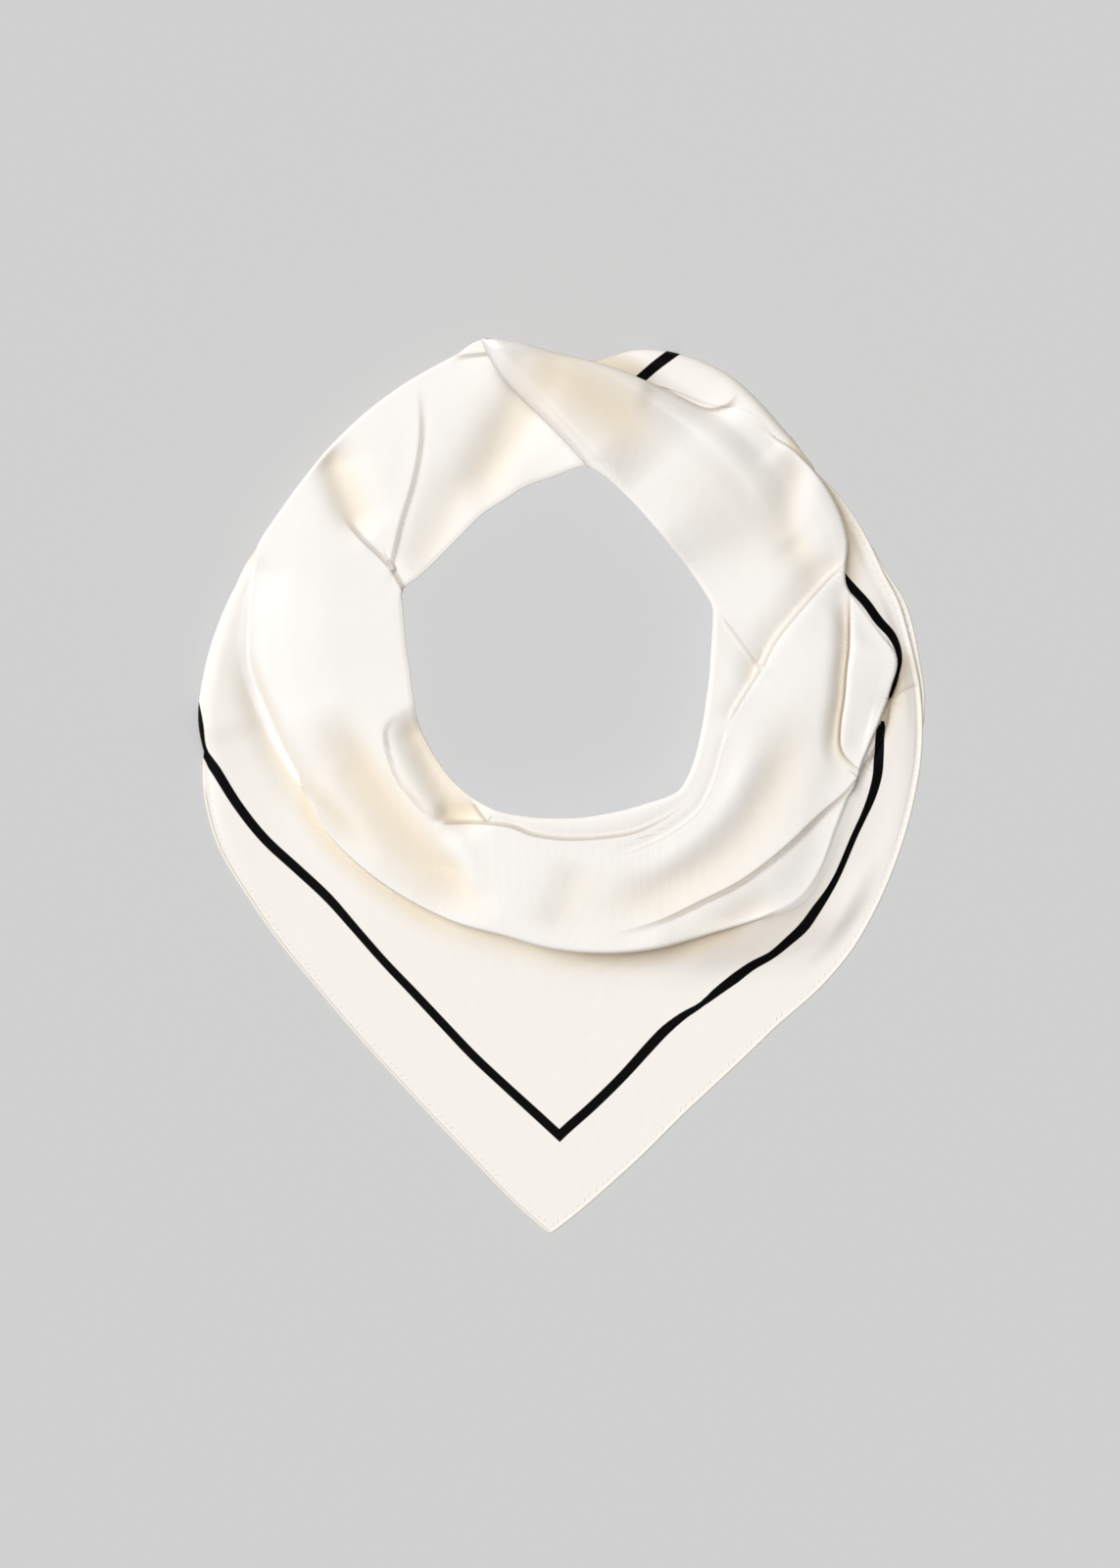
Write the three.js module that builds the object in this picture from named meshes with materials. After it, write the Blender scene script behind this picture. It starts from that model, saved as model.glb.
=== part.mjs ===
// Square scarf of ivory silk satin, folded corner to corner, gathered into a collar and laid flat.
// Units are millimetres, +Z is up, the cloth rests on z = 0 and the point of the square faces -Y.
//
// The scarf is one piece of cloth, so it is one solid. It is lofted through radial sections round
// the neck opening, from the end that lies underneath at the nape, round by the left side and the
// point in front, to the end that lies on top at the nape. Each section follows the cloth from the
// front hem, over the hanging panel, in under the lip of the collar and back out, over the collar
// to the neck edge, through two hidden pleats and out along the floor to the back hem.
import * as THREE from 'three';

// Cloth
const WALL = 1;
const HEM_THICKNESS = 1.4;
const HEM_WIDTH = 2.5;
// Height from the middle of one layer to the middle of the next where layers lie on each other
const LAYER = 1.4;
const FLOOR_LAYER = WALL / 2;

// Centre of the neck opening, which the angles and radii below are measured from
const NECK = { x: -2.5, y: 76 };
const TIP_ANGLE = 269.4;

// How rounded the cloth is where it turns over: the widths of the rolls at the outer fold, the lip,
// the neck edge and the top end, and how far the neck edge dips
const FOLD_ROLL = 9;
const LIP_ROLL = 1.6;
const NECK_ROLL = 2;
const END_ROLL = 7;
const NECK_DROP = 0.5;

// How the panel climbs to the lip of the collar, and the collar from its lip to its crown: the width
// of the climb, the share of the drop that the lip itself stands up, the width of the slope where
// the lip is open, and where the crown begins as a share of the width of the collar
const PANEL_CLIMB = 26;
const LIP_SHARE = 0.8;
const OPEN_LIP = 22;
const CROWN_AT = 0.55;
// Width of the passage where one height takes over from another
const SOFT_PASSAGE = 4;

// The top end slants: its neck edge stops this many degrees before its outer edge
const END_SLANT = 24;
const SLANT_LENGTH = 44;

// Hidden pleats inside the collar, which take up the fullness of the square: how many times the
// cloth runs out and back, and the clearance to the neck edge and to the nearest hidden edge
const PLEATS = 2;
const PLEAT_INSET = 4;
const PLEAT_CLEARANCE = 5;
// Widths over which the collar comes down past the pleats, and over which the cloth on top comes
// down past the outer edge of the end beneath
const PLEAT_PASSAGE = 24;
const BASE_SLOPE = 22;

// Sections in plan. at: angle from +X, turning left past the nape. hem: front hem. fold: where the
// panel turns over outside. lip: outer edge of the collar. tuck: how far the cloth runs in under the
// lip, below zero where the lip is only a shoulder. neck: neck edge. back: hem of the layer beneath.
const PLAN = table('at hem fold lip tuck neck back', [
  [50, 111, 122, 124, 8, 98, 112],
  [66, 114, 126, 128, 8, 94, 116],
  [80, 122, 134, 136, 8, 88.5, 124],
  [90, 129, 141, 143, 8, 81.8, 131],
  [97, 135, 147, 149, 8, 79, 137],
  [104, 142, 154, 156, 8, 76.7, 144],
  [110, 138, 150, 152.2, 8, 74.3, 142],
  [120, 136, 148, 150.3, 8, 72.5, 140],
  [133, 136, 148, 149.9, 8, 70.4, 140],
  [146, 137, 149, 151.3, 8, 71.6, 141],
  [156, 140, 153, 154.8, 7, 75.5, 145],
  [163, 145, 159, 159, 4, 81.4, 151],
  [167, 146, 162.8, 158.5, 1, 80.3, 153],
  [171, 147, 166, 158, -2, 78.8, 155],
  [177, 150, 172, 157.5, -5, 77.2, 160],
  [185, 160, 180.2, 157.5, -5, 76.3, 170],
  [193, 181, 187.6, 153, -5, 76.3, 183],
  [201, 194, 190.5, 150.5, -4, 78.3, 191],
  [207, 200, 196.5, 149.5, -3, 80.6, 197],
  [212, 203.6, 200, 151, 1, 82.9, 200.6],
  [222, 207.3, 204, 153.5, 5, 86, 204.5],
  [237, 218.8, 215.5, 153.7, 14, 91, 216],
  [250, 240, 236.5, 154.3, 24, 93.5, 237],
  [260, 267.3, 263.5, 154.6, 30, 92.8, 264],
  [TIP_ANGLE, 304.8, 300.5, 159, 33, 92.4, 301.5],
  [277, 276.3, 272.5, 162.2, 33, 92.8, 273],
  [286, 249.9, 246.5, 166, 31, 93.6, 247],
  [298, 230.3, 227, 170.8, 10, 96.2, 227.5],
  [308, 223.8, 220.5, 179, -1, 99.8, 221],
  [313, 220.5, 217, 182, -3, 97.5, 218],
  [318, 216, 212.5, 180, -3, 94, 214],
  [326, 208.7, 205, 172.5, -5, 88.3, 206],
  [336, 200.6, 197, 168, -4, 82.9, 199],
  [341, 197, 193.5, 168.5, 1, 81.2, 196],
  [351, 188.6, 185.3, 172, 4, 79, 190.6],
  [356.5, 183.3, 180, 173.5, 3, 78.7, 186],
  [361, 179.5, 176, 164, -4, 79, 183],
  [366, 175.8, 172, 155, -2, 79.8, 179],
  [371, 170.6, 167, 149.8, 2, 80.4, 172.2],
  [379, 166, 162.4, 156.2, 5, 77.4, 165.5],
  [388, 160.6, 157.2, 157.2, 6, 75, 158],
  [397, 153, 157.2, 154, 4, 73.6, 149],
  [402, 148, 157, 151, 0, 73.7, 145],
  [410, 147, 158.8, 147, -4, 74.7, 139],
  [417, 149, 160, 137.6, -4, 76.7, 134],
  [426, 147, 157.6, 137, -1, 80.4, 132],
  [434, 142, 152.5, 138.2, 4, 84.8, 131],
  [443, 131, 141, 140.8, 8, 88.5, 131],
  [450, 130, 141.7, 143.7, 8, 88.5, 133],
  [457, 136, 148, 150, 8, 88.5, 139],
  [464, 141, 153.4, 155.4, 8, 88.5, 145],
]);

// Sections in height, above the floor. rise: how high the outer fold stands. low: the panel where it
// meets the collar. drop: how much higher the collar lies just inside its lip. crown: its top.
const HEIGHT = table('at rise low drop crown', [
  [50, 0, 4.2, 2, 7.5],
  [84, 0, 4.2, 2, 8],
  [96, 0, 4.2, 4, 9.5],
  [104, 0, 4.2, 6.5, 12],
  [112, 0, 4.2, 8, 14],
  [130, 0, 4.2, 9.5, 15.5],
  [156, 0, 4.2, 9.5, 16],
  [166, 2.5, 5.5, 6, 15],
  [177, 6, 8, 3, 14.5],
  [193, 5, 7.5, 3, 14],
  [204, 2, 6.5, 3.5, 14.5],
  [222, 0, 6, 2.5, 15.5],
  [237, 0, 6.5, 3, 16.5],
  [250, 0, 7, 5, 17],
  [264, 0, 6.5, 7.5, 17.5],
  [290, 0, 7, 8.5, 17.5],
  [300, 0, 10, 3.5, 17.5],
  [308, 0, 10, 2, 17],
  [316, 0, 9, 2, 16],
  [332, 0, 7.5, 1.5, 15],
  [344, 0, 8, 1.5, 14.5],
  [356, 0, 6, 5, 14.5],
  [364, 0, 8, 3, 14.5],
  [371, 0, 6, 4, 14],
  [388, 0, 6, 3.5, 14.5],
  [397, 4, 6, 5, 16.5],
  [408, 8, 9, 3, 19],
  [418, 5, 7, 3, 19.5],
  [434, 4, 6, 6, 20],
  [443, 1, 4.5, 8.5, 20],
  [464, 0, 4.5, 9.5, 20],
]);

// Folds that cross the sections. Each is a path in plan, and the cloth stands or sinks by the
// height in left or right beside it, dying away over the two widths in wide, and towards the start
// or the end of the path as fade says. part says which stretch of the cloth it lies on: the end
// beneath, the end on top with the front, or any. Two equal heights make a plain ridge or hollow.
const FOLDS = [
  { name: 'crease by the left shoulder', part: 'under', left: -0.7, right: 0.8, wide: [7, 10],
    fade: 'start', path: [[-72.5, 207], [-71.5, 191], [-71.5, 178.5], [-73, 166], [-76, 152.5],
      [-81, 136], [-84.5, 122], [-87, 110.5]] },
  { name: 'crease over the left side', part: 'under', left: -1.5, right: 0.6, wide: [9, 10],
    fade: 'start', path: [[-113, 138.5], [-106.5, 130.5], [-100, 123.5], [-93.5, 117.5], [-87, 110.5],
      [-83.5, 105], [-80.5, 99.5]] },
  { name: 'hollow inside the left side', part: 'under', left: -6, right: -6, wide: [11, 8],
    fade: 'both', path: [[-117.5, 178], [-114.5, 162], [-110.5, 150], [-104.5, 137], [-96, 124]] },
  { name: 'hollow beside the top end', part: 'under', left: -5.5, right: -5.5, wide: [11, 13],
    fade: 'end', path: [[-11, 212], [-19, 193], [-28, 177], [-34, 166], [-42, 153], [-51, 140]] },
  { name: 'slope beside the crease', part: 'under', left: -2.5, right: -2.5, wide: [10, 12],
    fade: 'both', path: [[-46, 162], [-54, 147], [-60, 134], [-69, 116], [-76, 102]] },
  { name: 'long slope of the top end', part: 'over', left: 7, right: 7, wide: [30, 6],
    fade: 'end', path: [[-35, 225], [-24, 214.5], [-6.5, 197], [8.5, 181], [22, 167], [38, 150], [54, 132]] },
  { name: 'peak at the nape', part: 'over', left: 4, right: 4, wide: [40, 40],
    fade: '', path: [[-36, 226], [-26, 216]] },
  { name: 'fold over the top end', part: 'over', left: 1.5, right: -2.8, wide: [8, 12],
    fade: 'both', path: [[41, 206], [53.5, 201], [63.5, 195.5], [74.5, 191.5], [86, 194.5], [90.5, 202]] },
  { name: 'neck edge of the top end', part: 'over', left: 0.6, right: -1, wide: [8, 14],
    fade: 'start', path: [[77.5, 91], [89, 75.5], [100.9, 59]] },
  { name: 'front fold over the top end', part: 'over', left: -3.6, right: -0.4, wide: [18, 6],
    fade: 'end', path: [[101.5, 59], [108.5, 73], [117, 84], [135, 104.5], [143.5, 113], [147.5, 121]] },
  { name: 'front fold over the neck layer', part: 'over', left: 0.6, right: -2, wide: [6, 12],
    fade: 'end', path: [[100.9, 58.5], [91.8, 44.5], [83.3, 30]] },
  { name: 'deep valley on the right', part: 'over', left: -0.5, right: -8, wide: [4, 11],
    fade: 'both', path: [[146, 108], [146, 72.5], [144.5, 58], [143.5, 44.5], [141.5, 30], [142, 18],
      [150, 9], [160, 4]] },
  { name: 'overhang of the right lobe', part: 'over', left: 1, right: -2, wide: [9, 8],
    fade: 'end', path: [[153.5, 9.5], [160.5, 21.5], [166, 37], [169.5, 51], [173, 67]] },
  { name: 'long crease under the collar', part: 'over', left: 1.4, right: -0.8, wide: [12, 14],
    fade: 'both', path: [[21.5, -77.3], [49.5, -69], [70.5, -59], [91.8, -48], [112.8, -32], [131, -15]] },
  { name: 'valley of the right collar', part: 'over', left: -4.2, right: -4.2, wide: [11, 13],
    fade: 'both', path: [[8, -64], [34, -60], [65, -46], [90, -28], [105, -6], [114, 16], [120, 48]] },
  { name: 'ridge of the right collar', part: 'over', left: 1.5, right: 1.5, wide: [7, 7],
    fade: 'both', path: [[33, -49], [59, -34], [80, -15], [93, 6], [100, 31]] },
  { name: 'pocket at the neck', part: 'any', left: -7, right: -7, wide: [10, 10],
    fade: 'start', path: [[-80, 41], [-76, 33], [-70.5, 21], [-64.5, 7.5], [-57, -5], [-51, -12]] },
  { name: 'edge of the pocket', part: 'any', left: -1, right: 0.8, wide: [6, 6],
    fade: 'both', path: [[-80, 35], [-86, 34], [-90, 27], [-87.5, 13.5], [-82.5, 2], [-76.5, -5.5],
      [-71, -12], [-65.5, -16], [-60, -19]] },
  { name: 'inner lip of the collar', part: 'any', left: -2, right: 0.6, wide: [8, 8],
    fade: 'end', path: [[-60, -19], [-40.2, -19], [-26.2, -20.5], [-15, -24.8], [1.9, -27], [23, -26],
      [38.5, -23], [56.5, -13.5], [70, -1]] },
  { name: 'second inner line', part: 'any', left: -1, right: 0.5, wide: [6, 6],
    fade: 'start', path: [[18.8, -39], [49.5, -27.5], [69.3, -13.5], [77.5, 2], [83.3, 23]] },
  { name: 'crest from the pocket', part: 'any', left: 1.2, right: 1.2, wide: [5, 5],
    fade: 'both', path: [[-60, -23.5], [-50, -33], [-44.5, -47], [-43, -58.5]] },
  { name: 'hollow of the left collar', part: 'any', left: -8, right: -8, wide: [9, 19],
    fade: 'both', path: [[-117, 44], [-111, 28], [-102, 13], [-91, -4], [-76, -25], [-59, -43],
      [-46, -56], [-34, -72]] },
  { name: 'dimple in front', part: 'any', left: -2.2, right: -2.2, wide: [20, 11],
    fade: 'both', path: [[14, -36], [7, -51], [1, -66], [-4, -80]] },
  { name: 'hollow outside the left collar', part: 'any', left: -5.5, right: -5.5, wide: [6, 9],
    fade: 'both', path: [[-161, 78], [-155.5, 54], [-150, 36], [-142.5, 18], [-132.5, 1], [-118, -12],
      [-103, -27], [-90, -38]] },
  { name: 'left collar line', part: 'any', left: 0.6, right: 0.6, wide: [4, 4],
    fade: 'both', path: [[-151, 110], [-150.5, 85], [-149, 46], [-142.5, 26], [-134.5, 6],
      [-121.5, -14], [-105, -33], [-88, -45]] },
  { name: 'hollow by the right shoulder', part: 'over', left: -2.7, right: -2.7, wide: [8, 11],
    fade: 'both', path: [[124, 192], [119, 175], [115, 158], [114, 142], [116, 126], [121, 108]] },
  { name: 'hollow of the right shoulder', part: 'over', left: -1.8, right: -1.8, wide: [9, 9],
    fade: 'both', path: [[120, 132], [130, 119], [139, 106]] },
  { name: 'crease beside the long one', part: 'over', left: -1.6, right: -1.6, wide: [8, 8],
    fade: 'both', path: [[42, -86], [66, -78], [92, -66], [112, -52]] },
  { name: 'hollow of the top end', part: 'over', left: -1.2, right: -1.2, wide: [15, 15],
    fade: '', path: [[78, 146], [94, 128]] },
  { name: 'bulge of the right shoulder', part: 'over', left: 1, right: 1, wide: [10, 10],
    fade: '', path: [[132, 150], [137, 132]] },
  { name: 'swell of the right panel', part: 'any', left: 4, right: 4, wide: [12, 13],
    fade: 'both', path: [[30, -84], [58, -85], [83.5, -82], [108.5, -79], [133.5, -72], [153, -56],
      [168, -32]] },
];

// Share of a fold's length over which it fades out
const FADE_SHARE = 0.28;

// Mesh counts, half the width of the step from one side of a fold to the other, and the sharpest
// turn at which the wall still keeps its thickness
const SECTIONS_LEFT = 40;
const SECTIONS_RIGHT = 37;
const PANEL_STEPS = 6;
const RETURN_STEPS = 2;
const COLLAR_STEPS = 11;
const BACK_STEPS = 2;
const FOLD_STEP = 5;
const SHARPEST_MITRE = 0.6;

function table(names, rows) {
  const columns = names.split(' ');
  return rows.map((row) => Object.fromEntries(columns.map((name, i) => [name, row[i]])));
}

const clamp01 = (x) => Math.min(1, Math.max(0, x));
const smooth = (x) => clamp01(x) ** 2 * (3 - 2 * clamp01(x));
const lerp = (a, b, t) => a + (b - a) * t;
// The larger of two heights, with a round passage between them
const softMax = (a, b) => (a + b + Math.hypot(a - b, SOFT_PASSAGE)) / 2;
// Quarter circle, from 0 at the edge to 1 where the roll ends
const roll = (x) => Math.sqrt(1 - (1 - clamp01(x)) ** 2);

// Smooth curve through a column of a table, with a corner left sharp at the tip where it asks for one
function curve(rows, column, corner) {
  const slope = (i, j) => (rows[j][column] - rows[i][column]) / (rows[j].at - rows[i].at);
  const last = rows.length - 1;
  function tangent(i, side) {
    if (i === 0 || i === last) return i === 0 ? slope(0, 1) : slope(last - 1, last);
    if (corner && rows[i].at === TIP_ANGLE) return side < 0 ? slope(i - 1, i) : slope(i, i + 1);
    return slope(i - 1, i + 1);
  }
  return (at) => {
    let i = 0;
    while (i < last - 1 && at >= rows[i + 1].at) i += 1;
    const span = rows[i + 1].at - rows[i].at;
    const t = clamp01((at - rows[i].at) / span);
    const start = tangent(i, 1) * span;
    const end = tangent(i + 1, -1) * span;
    return rows[i][column] * (1 + 2 * t) * (1 - t) ** 2 + start * t * (1 - t) ** 2
      + rows[i + 1][column] * t * t * (3 - 2 * t) - end * t * t * (1 - t);
  };
}

const hemAt = curve(PLAN, 'hem', true);
const foldAt = curve(PLAN, 'fold', true);
const backAt = curve(PLAN, 'back', true);
const lipAt = curve(PLAN, 'lip');
const tuckAt = curve(PLAN, 'tuck');
const neckAt = curve(PLAN, 'neck');
const riseAt = curve(HEIGHT, 'rise');
const lowAt = curve(HEIGHT, 'low');
const dropAt = curve(HEIGHT, 'drop');
const crownAt = curve(HEIGHT, 'crown');

const FIRST = PLAN[0].at;
const LAST = PLAN[PLAN.length - 1].at;

// The folds as chains of short straight pieces
const samples = FOLDS.map((fold) => {
  const points = fold.path.map(([x, y]) => new THREE.Vector3(x, y, 0));
  return new THREE.CatmullRomCurve3(points).getPoints(4 * points.length);
});

// 1 where a fold has its full height, 0 on the stretches of cloth that it does not cross
function strengthAlong(fold, at, along) {
  if (fold.part === 'under' && at > 250) return 0;
  if (fold.part === 'over' && at < 250) return 0;
  const start = fold.fade === 'start' || fold.fade === 'both' ? smooth(along / FADE_SHARE) : 1;
  const end = fold.fade === 'end' || fold.fade === 'both' ? smooth((1 - along) / FADE_SHARE) : 1;
  return start * end;
}

// The nearest point of a path: its distance, its side of the path and how far along it lies
function nearestOn(points, x, y) {
  let best = { distance: Infinity };
  for (let k = 0; k + 1 < points.length; k += 1) {
    const dx = points[k + 1].x - points[k].x;
    const dy = points[k + 1].y - points[k].y;
    const t = clamp01(((x - points[k].x) * dx + (y - points[k].y) * dy) / (dx * dx + dy * dy));
    const ox = x - points[k].x - t * dx;
    const oy = y - points[k].y - t * dy;
    const distance = Math.hypot(ox, oy);
    if (distance < best.distance) {
      best = { distance, side: Math.sign(dx * oy - dy * ox), along: (k + t) / (points.length - 1) };
    }
  }
  return best;
}

// Height that the crossing folds add at one point of the cloth
function foldHeight(at, x, y) {
  let height = 0;
  FOLDS.forEach((fold, i) => {
    const { distance, side, along } = nearestOn(samples[i], x, y);
    const strength = strengthAlong(fold, at, along);
    const leftness = smooth(0.5 + 0.5 * side * distance / FOLD_STEP);
    const wide = lerp(fold.wide[1], fold.wide[0], leftness);
    if (fold.left === fold.right) height += strength * fold.left * Math.exp(-((distance / wide) ** 2));
    else height += strength * lerp(fold.right, fold.left, leftness) * (1 - clamp01(distance / wide)) ** 2;
  });
  return height;
}

// Radii and heights of one section, along the middle of the cloth
const measured = new Map();
function measure(at) {
  if (measured.has(at)) return measured.get(at);
  const slant = END_SLANT * smooth((at - LAST + SLANT_LENGTH) / SLANT_LENGTH);
  const hem = hemAt(at) - HEM_THICKNESS / 2;
  const fold = foldAt(at) - WALL / 2;
  const lip = lipAt(at) - WALL / 2;
  const neck = neckAt(at - slant) + WALL / 2;
  const root = lip - tuckAt(at);
  const section = {
    at,
    slant,
    hem,
    fold,
    lip,
    neck,
    root,
    back: backAt(at) - HEM_THICKNESS / 2,
    pleat: Math.min(hem, root, lip, at > LAST - 90 ? lipAt(at - 360) : lip) - PLEAT_CLEARANCE,
    width: lip - neck,
    // 0 where the lip is only a shoulder, 1 where the cloth runs back under it
    tucked: smooth(tuckAt(at) / 3),
    // The same, taken over a wider range, for the slope of the collar inside its lip
    closed: smooth((tuckAt(at) + 4) / 12),
    // 0 where the front hem shows, 1 where it is turned under the outer fold
    hidden: clamp01((fold - hem) / 4),
    rise: riseAt(at),
    low: lowAt(at) - FLOOR_LAYER,
    drop: dropAt(at),
    crown: crownAt(at) - FLOOR_LAYER,
  };
  measured.set(at, section);
  return section;
}

function angleOf(s, radius) {
  return s.at - s.slant * clamp01((s.lip - radius) / s.width) ** 2;
}

function planPoint(s, radius) {
  const turn = THREE.MathUtils.degToRad(angleOf(s, radius));
  return new THREE.Vector3(NECK.x + radius * Math.cos(turn), NECK.y + radius * Math.sin(turn), 0);
}

// Height of the lowest layer: the floor, or the top of the end that lies beneath
function baseHeight(s, radius) {
  const begins = smooth((angleOf(s, radius) - 360 - FIRST + 36) / 32);
  if (s.at < 360 || begins === 0) return FLOOR_LAYER;
  const below = measure(Math.max(FIRST, angleOf(s, radius) - 360));
  const reach = Math.min(below.lip - LIP_ROLL / 2, Math.max(below.neck + NECK_ROLL / 2, radius));
  const outside = 1 - smooth((radius - below.lip - 1) / BASE_SLOPE);
  return FLOOR_LAYER + (collarHeight(below, reach) + 1.5 * LAYER - FLOOR_LAYER) * begins * outside;
}

function reliefAt(s, radius) {
  const spot = planPoint(s, radius);
  return foldHeight(s.at, spot.x, spot.y);
}

// A height that runs out softly where it meets the floor
const pressed = (z, floor) => floor + (z - floor + Math.hypot(z - floor, 1) - 1) / 2;

function panelHeight(s, radius) {
  const x = Math.abs(s.fold - radius);
  const turned = LAYER + s.hidden * LAYER * roll(x / 2);
  const edge = turned + s.rise * roll(x / FOLD_ROLL);
  const climb = (1 - clamp01((radius - s.lip) / PANEL_CLIMB)) ** 2 * smooth(x / 6);
  const relief = reliefAt(s, radius) * smooth(x / 12) * smooth((radius - s.lip + 12) / 12);
  return baseHeight(s, radius) + pressed(edge + (s.low - edge) * climb + relief, turned);
}

// Where the collar begins: above the panel if it is tucked in, or else level with it
function lipHeight(s) {
  const relief = reliefAt(s, s.lip) * (1 - s.tucked);
  return s.low + LIP_SHARE * s.drop * s.tucked + relief + baseHeight(s, s.lip);
}

function collarHeight(s, radius) {
  const x = s.lip - radius;
  const base = baseHeight(s, radius);
  const lip = s.low + LIP_SHARE * s.drop * s.tucked;
  const top = s.low + s.drop;
  const share = Math.min(x / s.width / CROWN_AT, 1);
  const hump = lerp(smooth(share), 1 - (1 - share) ** 2, s.closed);
  const shoulder = lerp(smooth(x / OPEN_LIP), roll(x / LIP_ROLL), s.closed);
  const relief = reliefAt(s, radius) * lerp(1, roll(x / 6), s.tucked);
  const layers = lerp(2, 2 * PLEATS + 1, smooth((s.pleat + PLEAT_PASSAGE + 4 - radius) / PLEAT_PASSAGE));
  const crown = softMax(s.crown - base + FLOOR_LAYER, layers * LAYER + 2);
  const drop = NECK_DROP * (1 - smooth((s.width - x) / NECK_ROLL));
  const z = lip + (top - lip) * shoulder + (crown - top) * hump + relief - drop;
  const covered = radius > s.root - LAYER ? panelHeight(s, radius) - base + LAYER : 0;
  const least = Math.max(layers * LAYER, covered + LAYER * s.tucked);
  // The top end comes down over its last few millimetres
  const ending = roll((LAST - s.at) * Math.PI / 180 * radius / END_ROLL);
  return base + least + (Math.max(z, least) - least) * ending;
}

// One section: a list of points in space along the middle of the cloth, each with its half thickness
function section(at) {
  const s = measure(at);
  const points = [];
  function add(radius, z, half = WALL / 2) {
    const point = planPoint(s, radius).setZ(z);
    point.half = half;
    points.push(point);
  }
  const layer = (radius, count) => baseHeight(s, radius) + count * LAYER;
  const bead = (HEM_THICKNESS - WALL) / 2;

  // The bead of the hem stands up only where the hem is open
  const open = 1 - s.hidden;
  add(s.hem, layer(s.hem, 1) + 2 * bead * open, WALL / 2 + bead * open);
  add(s.fold, layer(s.fold, 1 + s.hidden / 2));
  for (let i = 1; i < PANEL_STEPS; i += 1) {
    const radius = lerp(s.fold, s.root, i / PANEL_STEPS);
    add(radius, panelHeight(s, radius));
  }
  add(s.root, panelHeight(s, s.root) + s.tucked * LAYER / 2);
  for (let i = 1; i < RETURN_STEPS; i += 1) {
    const share = i / RETURN_STEPS;
    const radius = lerp(s.root, s.lip, share);
    const straight = lerp(panelHeight(s, s.root), lipHeight(s), share);
    const over = Math.max(panelHeight(s, radius) + LAYER, straight);
    add(radius, lerp(straight, over, s.tucked));
  }
  add(s.lip, lipHeight(s));
  for (let i = 1; i <= COLLAR_STEPS; i += 1) {
    const share = (1 - Math.cos(Math.PI * i / COLLAR_STEPS)) / 2;
    const radius = s.lip - s.width * lerp(i / COLLAR_STEPS, share, 0.6);
    add(radius, collarHeight(s, radius));
  }
  const inner = s.neck + PLEAT_INSET;
  add(s.neck + WALL, layer(s.neck + WALL, 2 * PLEATS));
  const half = (inner + s.pleat) / 2;
  add(half, layer(half, 2 * PLEATS));
  for (let count = 2 * PLEATS; count > 0; count -= 1) {
    const radius = count % 2 === 0 ? s.pleat : inner;
    add(radius, layer(radius, count));
    add(radius, layer(radius, count - 1));
    if (count > 1) add(half, layer(half, count - 1));
  }
  add(half, layer(half, 0));
  for (let i = 1; i <= BACK_STEPS; i += 1) {
    const radius = lerp(half, s.back - HEM_WIDTH, i / BACK_STEPS);
    add(radius, layer(radius, 0));
  }
  add(s.back, layer(s.back, 0) + bead, HEM_THICKNESS / 2);
  return points;
}

// Angles of the sections, with one exactly at the tip
function sectionAngles() {
  const angles = [];
  for (let i = 0; i < SECTIONS_LEFT; i += 1) angles.push(lerp(FIRST, TIP_ANGLE, i / SECTIONS_LEFT));
  for (let i = 0; i <= SECTIONS_RIGHT; i += 1) angles.push(lerp(TIP_ANGLE, LAST, i / SECTIONS_RIGHT));
  return angles;
}

// Closed wall round a grid of points: a skin on each side and a strip along every edge
function wallFromGrid(grid) {
  const rows = grid.length;
  const columns = grid[0].length;
  const at = (i, j) => grid[Math.min(rows - 1, Math.max(0, i))][j];
  const positions = [];
  const along = new THREE.Vector3();
  const edgeNormal = (i, a, b) => {
    along.subVectors(at(i + 1, a), at(i - 1, a)).add(at(i + 1, b)).sub(at(i - 1, b));
    return new THREE.Vector3().subVectors(at(i, b), at(i, a)).cross(along).normalize();
  };
  for (const side of [1, -1]) {
    for (let i = 0; i < rows; i += 1) {
      for (let j = 0; j < columns; j += 1) {
        const before = edgeNormal(i, Math.max(0, j - 1), Math.max(1, j));
        const after = edgeNormal(i, Math.min(columns - 2, j), Math.min(columns - 1, j + 1));
        const mitre = Math.max(1 + before.dot(after), SHARPEST_MITRE);
        const normal = before.add(after).divideScalar(mitre);
        const p = grid[i][j];
        const reach = side * p.half;
        positions.push(p.x + normal.x * reach, p.y + normal.y * reach, p.z + normal.z * reach);
      }
    }
  }
  const vertex = (side, i, j) => side * rows * columns + i * columns + j;
  const indices = [];
  const quad = (a, b, c, d) => indices.push(a, b, c, a, c, d);
  for (let i = 0; i + 1 < rows; i += 1) {
    for (let j = 0; j + 1 < columns; j += 1) {
      quad(vertex(0, i, j), vertex(0, i, j + 1), vertex(0, i + 1, j + 1), vertex(0, i + 1, j));
      quad(vertex(1, i, j), vertex(1, i + 1, j), vertex(1, i + 1, j + 1), vertex(1, i, j + 1));
    }
    const end = columns - 1;
    quad(vertex(0, i, 0), vertex(0, i + 1, 0), vertex(1, i + 1, 0), vertex(1, i, 0));
    quad(vertex(0, i, end), vertex(1, i, end), vertex(1, i + 1, end), vertex(0, i + 1, end));
  }
  for (let j = 0; j + 1 < columns; j += 1) {
    const end = rows - 1;
    quad(vertex(0, 0, j), vertex(1, 0, j), vertex(1, 0, j + 1), vertex(0, 0, j + 1));
    quad(vertex(0, end, j), vertex(0, end, j + 1), vertex(1, end, j + 1), vertex(1, end, j));
  }
  const geometry = new THREE.BufferGeometry();
  geometry.setAttribute('position', new THREE.Float32BufferAttribute(positions, 3));
  geometry.setIndex(indices);
  geometry.computeVertexNormals();
  return geometry;
}

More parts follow.
